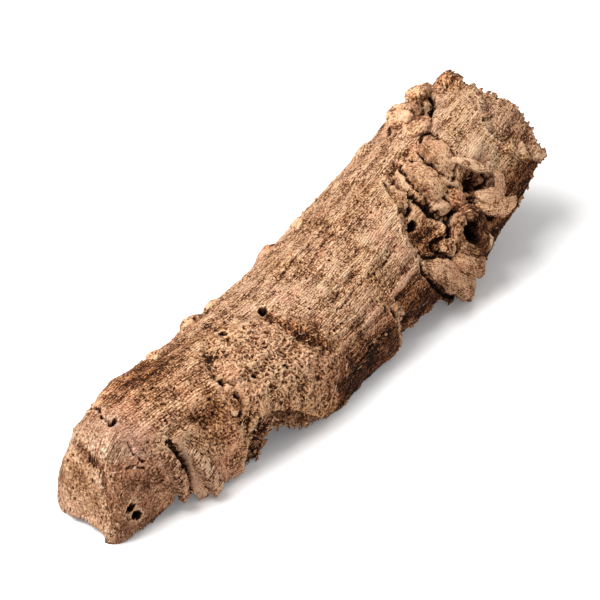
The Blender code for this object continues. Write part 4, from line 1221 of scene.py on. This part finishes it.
def flakes(name, skin, weight, count, shape, turns, tone, raw, material, seed):
    """Flakes, fibres or crumbs that hang on the bark, all of them in one mesh.

    Shape gives the range of lengths, half width and thickness as shares of the length,
    lift of the tip, and sideways sway. A flake's half width swells and shrinks along it,
    and its middle line rises with the square of the way along."""
    rng = np.random.default_rng(seed)
    at, up, ahead, side = flake_places(skin, weight, count, turns, rng)
    body, faces = leaf()
    (short, long), width, thin, lift, sway = shape
    length = rng.uniform(short, long, (count, 1))
    a, b, top = body[None, :, 0], body[None, :, 1], body[None, :, 2]
    a = a + rng.normal(0, 0.05, (count, len(body)))
    taper = 0.35 + 0.9 * np.sin(np.pi * np.clip(0.15 + 0.75 * a, 0, 1))
    wide = b * width * taper * rng.uniform(0.6, 1.4, (count, 1)) * (1 + rng.normal(0, 0.12, a.shape))
    wide = wide + sway * rng.normal(size=(count, 1)) * a ** 2
    rise = lift * rng.uniform(-0.3, 1.3, (count, 1)) * a ** 2 + rng.normal(0, 0.12, (count, 1)) * b * a
    rise = rise + (top - 0.6) * thin * (1.1 - 0.6 * a)
    place = (at[:, None] + ahead[:, None] * (a * length)[..., None]
             + side[:, None] * (wide * length)[..., None] + up[:, None] * (rise * length)[..., None])
    place[..., 2] = np.maximum(place[..., 2], FLOOR_CUT)
    no_triangles = np.zeros((0, 3), int)
    faces, _ = facing_out(place[0] - place[0].mean(0), faces, no_triangles)
    quads = (faces[None] + len(body) * np.arange(count)[:, None, None]).reshape(-1, 4)
    random = rng.uniform(0, 60, (count, 1))
    s, w = a * length + random, wide * length + 2 * random
    shade = rng.normal(0, 0.10, (count, 1))
    looks = looks_of((s, w, 0), (0.56 + shade + 0.06 * top, *tone),
                     (0 * s, raw * rng.uniform(0, 1.6, (count, 1)), 0.2))
    piece(name, place.reshape(-1, 3), quads, no_triangles,
          [look.reshape(-1, 3) for look in looks], material)


def loose_bark(points, places, material):
    """What hangs loose: on the broken edges, round the bite, in the recess, on the bulge.

    Each kind lies by a weight over the skin: bands along edges, ledges and cracks, or one
    of the kinds of bark."""
    x, angle, (lobe, neck, bulge, recess, bare) = places
    normals = unit(np.cross(np.gradient(points, axis=0), np.gradient(points, axis=1)))
    normals = unit(np.stack([blurred(normals[..., k], 5, 7) for k in range(3)], -1))
    clear = np.ones_like(x)
    for along, middle, radius, _, _ in HOLES[:-1]:
        clear *= smooth(np.hypot(x - along, (angle - middle) * AROUND) - 1.3 * radius - 1.2)
    grid = points, normals, clear
    near_edge, far_edge, end = np.zeros((3,) + x.shape)
    near_edge[:, :EDGE_BAND] = 1
    far_edge[:, -EDGE_BAND:] = 1
    end[-END_BAND:] = 1
    ledge = np.zeros_like(x)
    for line, _, _ in LEDGES:
        ledge += np.exp(-(line_distance(x, angle, line) / 1.3) ** 2)
    crack = np.zeros_like(x)
    for width, _, line in CRACKS:
        crack += np.exp(-((line_distance(x, angle, line) - width - 0.8) / 0.8) ** 2)
    plain = (1 - lobe) * (1 - bulge) * (1 - recess) * (1 - bare) * (1 - neck)
    weights = {
        "ledge_flakes": ledge,
        "end_flakes": end,
        "near_edge_flakes": near_edge * after(x, 2, 8),
        "far_edge_flakes": far_edge * after(x, 2, 8),
        "bulge_fibres": bulge * (1 - bare) * after(angle, -92, 8),
        "recess_chips": recess * after(x, BROKEN_START, 8) * after(angle, -88, 8),
        "back_crumbs": after(angle, 28, 8) * before(angle, 58, 8) * after(x, 20, 20),
        "crack_flakes": crack,
        "bite_splinters": bare * after(x, 80, 4),
        "lobe_crumbs": lobe + 0.15 * neck,
        "long_fibres": plain * before(x, 350, 10)}
    for number, (name, settings) in enumerate(LOOSE.items()):
        flakes(name, grid, weights[name], *settings, material, LOOSE_SEED + number)


def broken_pieces(material):
    """The single plates and lumps that can be told apart, each at its own place."""
    for number, (name, path, settings) in enumerate(PLATES):
        plate(name, path, material, PLATE_SEED + SEED_STEP * number, **settings)
    knot(material)


# Materials
class Value:
    """A socket of a material's node tree, used as a number in an expression."""

    def __init__(self, tree, socket):
        self.tree, self.socket = tree, socket

    def math(self, operation, *others):
        """Any step of maths with this number first, and other numbers or values after it."""
        node = self.tree.nodes.new("ShaderNodeMath")
        node.operation = operation
        for slot, item in zip(node.inputs, (self,) + others):
            if isinstance(item, Value):
                self.tree.links.new(item.socket, slot)
            else:
                slot.default_value = item
        return Value(self.tree, node.outputs[0])

    def __add__(self, other):
        return self.math("ADD", other)

    __radd__ = __add__

    def __mul__(self, other):
        return self.math("MULTIPLY", other)

    __rmul__ = __mul__

    def __sub__(self, other):
        return self.math("SUBTRACT", other)

    def __rsub__(self, other):
        return (self * -1) + other

    def clamped(self):
        """Kept between 0 and 1."""
        return self.math("MAXIMUM", 0.0).math("MINIMUM", 1.0)


class Finish:
    """A material's node tree, and one method that adds any node to it."""

    def __init__(self, name):
        self.material = bpy.data.materials.new(name)
        self.material.use_nodes = True
        self.tree = self.material.node_tree
        self.shader = self.tree.nodes["Principled BSDF"]

    def node(self, kind, settings=None, stops=None, **sockets):
        """Adds a node: its settings first, then a ramp's stops, then socket values or links."""
        made = self.tree.nodes.new(kind)
        for name, value in (settings or {}).items():
            setattr(made, name, value)
        if stops:
            ramp = made.color_ramp
            while len(ramp.elements) < len(stops):
                ramp.elements.new(0.5)
            for element, (position, colour) in zip(ramp.elements, stops):
                element.position = position
                element.color = (*colour, 1)
        for name, value in sockets.items():
            self.feed(made.inputs[name.replace("_", " ")], value)
        return made

    def feed(self, socket, value):
        """Links a value to a socket, or sets it when it is plain numbers."""
        if isinstance(value, Value):
            self.tree.links.new(value.socket, socket)
        elif isinstance(value, bpy.types.NodeSocket):
            self.tree.links.new(value, socket)
        else:
            socket.default_value = value

    def parts(self, socket):
        """The three numbers of a vector."""
        split = self.node("ShaderNodeSeparateXYZ", Vector=socket)
        return [Value(self.tree, out) for out in split.outputs]

    def attribute(self, name):
        """Three numbers that the mesh keeps at each point."""
        return self.node("ShaderNodeAttribute", {"attribute_name": name}).outputs["Vector"]

    def noise(self, x, y, z, detail, roughness=0.6):
        """Noise of about -0.5 to 0.5 at a place given by three expressions."""
        place = self.node("ShaderNodeCombineXYZ", X=x, Y=y, Z=z).outputs[0]
        made = self.node("ShaderNodeTexNoise", Vector=place, Scale=1.0, Detail=detail,
                         Roughness=roughness)
        return Value(self.tree, made.outputs[0]) - 0.5

    def mix(self, factor, first, second, blend="MIX"):
        """A colour between two colours."""
        made = self.tree.nodes.new("ShaderNodeMix")
        made.data_type = "RGBA"
        made.blend_type = blend
        made.clamp_factor = True
        self.feed(made.inputs["Factor"], factor)
        for slot, value in ((made.inputs[6], first), (made.inputs[7], second)):
            self.feed(slot, value if not isinstance(value, tuple) else (*value, 1))
        return made.outputs[2]


def bark_finish():
    """Dry bark. A number for light and dark is summed from grooves and grain of several
    sizes, and a ramp turns it into colour: near black, red brown, tan, pale tan.

    The mesh gives places along and round the skin and how striated it is, then the shade by
    relief, which is partly the grain's own mottle and partly painted shade and light, the
    stains with painted shade, and paleness, then painted shade in hollows, how freshly torn,
    and how coarse. The contrast is less and the hue cooler towards the closed end."""
    bark = Finish("dry_bark")
    along, across, weave = bark.parts(bark.attribute("grain"))
    relief_shade, stain_and_painted_shade, pale = bark.parts(bark.attribute("tone"))
    deep, raw, coarse = bark.parts(bark.attribute("kind"))
    place = bark.node("ShaderNodeTexCoord").outputs["Object"]
    px, py, pz = bark.parts(place)
    streaks = bark.noise(along * 0.07, across, 0.0, 4.0, 0.65)
    threads = bark.noise(along * 0.22, across * 2.1, 3.0, 3.0, 0.6)
    grit = bark.noise(along * 0.55, across * 0.75, 7.0, 5.0, 0.7)
    specks = bark.noise(px * 900, py * 900, pz * 900, 3.0, 0.6)
    patches = bark.noise(px * 34, py * 34, pz * 34, 3.0, 0.55)
    blots = bark.noise(px * 120, py * 120, pz * 120, 3.0, 0.55)
    bands = bark.noise(along * 0.022, across * 0.16, 11.0, 4.0, 0.62)
    lines = (across * 4.4 + streaks * 5.0).math("SINE") * (streaks * 0.6 + 0.12)
    hatch = (along * 4.4 + grit * 6.0).math("SINE") * (patches + 0.35).clamped() * weave * 0.22
    lined = 1 - coarse

    closed_end = (px * -60 - 9.0).clamped()
    drawn = streaks + threads * 1.2 + bands * 0.9 + lines * 0.8 + hatch
    light = ((relief_shade - 0.5) * 0.95 + drawn * lined + grit * 1.45 + specks * 2.3 + patches * 0.6
             + blots * 0.9)
    light = light * (1 - closed_end * 0.4) + 0.575 - stain_and_painted_shade * 0.27 + pale * 0.13 - deep * 0.2
    colour = bark.node("ShaderNodeValToRGB", stops=[
        (0.00, (0.022, 0.008, 0.003)), (0.18, (0.086, 0.032, 0.013)),
        (0.34, (0.215, 0.088, 0.042)), (0.50, (0.430, 0.204, 0.106)),
        (0.66, (0.650, 0.366, 0.203)), (0.90, (0.900, 0.615, 0.400))], Fac=light).outputs[0]
    purple, yellow = (patches * 4.5 + blots * 2.0).clamped(), (patches * -4.5 - 2.0 * blots).clamped()
    colour = bark.mix(purple * 0.7, colour, (0.88, 0.66, 0.66), "MULTIPLY")
    colour = bark.mix(yellow * 0.6, colour, (1.0, 0.95, 0.74), "MULTIPLY")

    flecks = ((blots + grit * 0.8 - 0.16) * 7.0).clamped()
    colour = bark.mix(flecks * 0.55, colour, (0.62, 0.25, 0.09))
    # Stains, and painted shade, darken and redden the colour
    colour = bark.mix((stain_and_painted_shade * 0.8).clamped(), colour, (0.92, 0.72, 0.54), "MULTIPLY")
    colour = bark.mix((coarse * (0.5 + blots)).clamped() * 0.35, colour, (1.0, 0.95, 0.80), "MULTIPLY")
    colour = bark.mix(closed_end, colour, (0.96, 1.07, 1.22), "MULTIPLY")
    fresh = bark.node("ShaderNodeValToRGB", stops=[
        (0.0, (0.030, 0.012, 0.007)), (0.4, (0.210, 0.085, 0.042)), (0.6, (0.43, 0.20, 0.10)),
        (1.0, (0.66, 0.34, 0.16))], Fac=0.40 + streaks * 1.6 + grit * 1.8 + blots * 0.9).outputs[0]
    colour = bark.mix(raw * 0.8, colour, fresh)
    # Painted shade in hollows, gaps, cracks and holes, and low on the near side
    colour = bark.mix(deep * 0.95, colour, (0.10, 0.06, 0.045), "MULTIPLY")
    bark.feed(bark.shader.inputs["Base Color"], colour)
    bark.feed(bark.shader.inputs["Roughness"], (0.86 + grit * 0.25).clamped())
    bark.shader.inputs["Specular IOR Level"].default_value = 0.10

    relief = (streaks * 1.1 + threads * 0.5 + lines * 2.0 + hatch * 1.5) * lined
    relief = relief + grit * (coarse * 0.9 + 0.5) + specks * 0.25
    bump = bark.node("ShaderNodeBump", Height=relief, Strength=0.85, Distance=0.0016)
    bark.feed(bark.shader.inputs["Normal"], bump.outputs[0])
    return bark.material


def floor_finish():
    """A matt near-white ground with the faintest unevenness."""
    ground = Finish("pale_ground")
    place = ground.node("ShaderNodeTexCoord").outputs["Object"]
    x, y, z = ground.parts(place)
    faint = ground.noise(x * 3, y * 3, z, 2.0)
    colour = ground.mix(faint + 0.5, (0.86, 0.865, 0.88), (0.89, 0.893, 0.90))
    ground.feed(ground.shader.inputs["Base Color"], colour)
    ground.shader.inputs["Roughness"].default_value = 0.9
    ground.shader.inputs["Emission Color"].default_value = (0.93, 0.96, 1.0, 1)
    ground.shader.inputs["Emission Strength"].default_value = 0.12
    ground.shader.inputs["Specular IOR Level"].default_value = 0.1
    return ground.material


# Floor, light and camera
def add_ground():
    """A level square of floor under the slab."""
    mesh = bpy.data.meshes.new("ground")
    far = FLOOR_REACH
    mesh.from_pydata([(-far, -far, 0), (far, -far, 0), (far, far, 0), (-far, far, 0)], [],
                     [(0, 1, 2, 3)])
    mesh.materials.append(floor_finish())
    thing = bpy.data.objects.new("ground", mesh)
    bpy.context.scene.collection.objects.link(thing)


def soft_lamp(name, place, target, size, power, colour):
    """A square lamp that faces a point."""
    lamp = bpy.data.lights.new(name, "AREA")
    lamp.shape = "SQUARE"
    lamp.size = size
    lamp.energy = power
    lamp.color = colour
    thing = bpy.data.objects.new(name, lamp)
    thing.location = place
    aim = Vector(target) - Vector(place)
    thing.rotation_euler = aim.to_track_quat("-Z", "Y").to_euler()
    bpy.context.scene.collection.objects.link(thing)


def camera():
    """The photograph's eye point, turned to the slab."""
    back = Vector((np.sin(AZIMUTH) * np.cos(ELEVATION), -np.cos(AZIMUTH) * np.cos(ELEVATION),
                   np.sin(ELEVATION)))
    eye = Vector(-ORIGIN * MM) + back * EYE_DISTANCE
    lens = bpy.data.cameras.new("camera")
    lens.lens = LENS
    lens.clip_end = 20
    thing = bpy.data.objects.new("camera", lens)
    thing.location = eye
    thing.rotation_euler = (AIM - eye).to_track_quat("-Z", "Y").to_euler()
    bpy.context.scene.collection.objects.link(thing)
    bpy.context.scene.camera = thing


def studio():
    """One large lamp behind the slab, and an even, slightly warm light from all round."""
    soft_lamp("key", LAMP_PLACE, (0, 0, 0), LAMP_SIZE, LAMP_POWER, (1.0, 0.985, 0.96))
    world = bpy.data.worlds.new("studio")
    bpy.context.scene.world = world
    world.use_nodes = True
    shade = world.node_tree.nodes["Background"]
    shade.inputs["Color"].default_value = (1.0, 0.98, 0.955, 1)
    shade.inputs["Strength"].default_value = 0.55
    bpy.context.scene.view_settings.view_transform = "Standard"
    bpy.context.scene.view_settings.look = "None"


def build():
    """The bark, its plates and its flakes, then floor, light and camera."""
    finish = bark_finish()
    skin, places = whole_bark(finish)
    broken_pieces(finish)
    loose_bark(skin, places, finish)
    add_ground()
    studio()
    camera()


build()
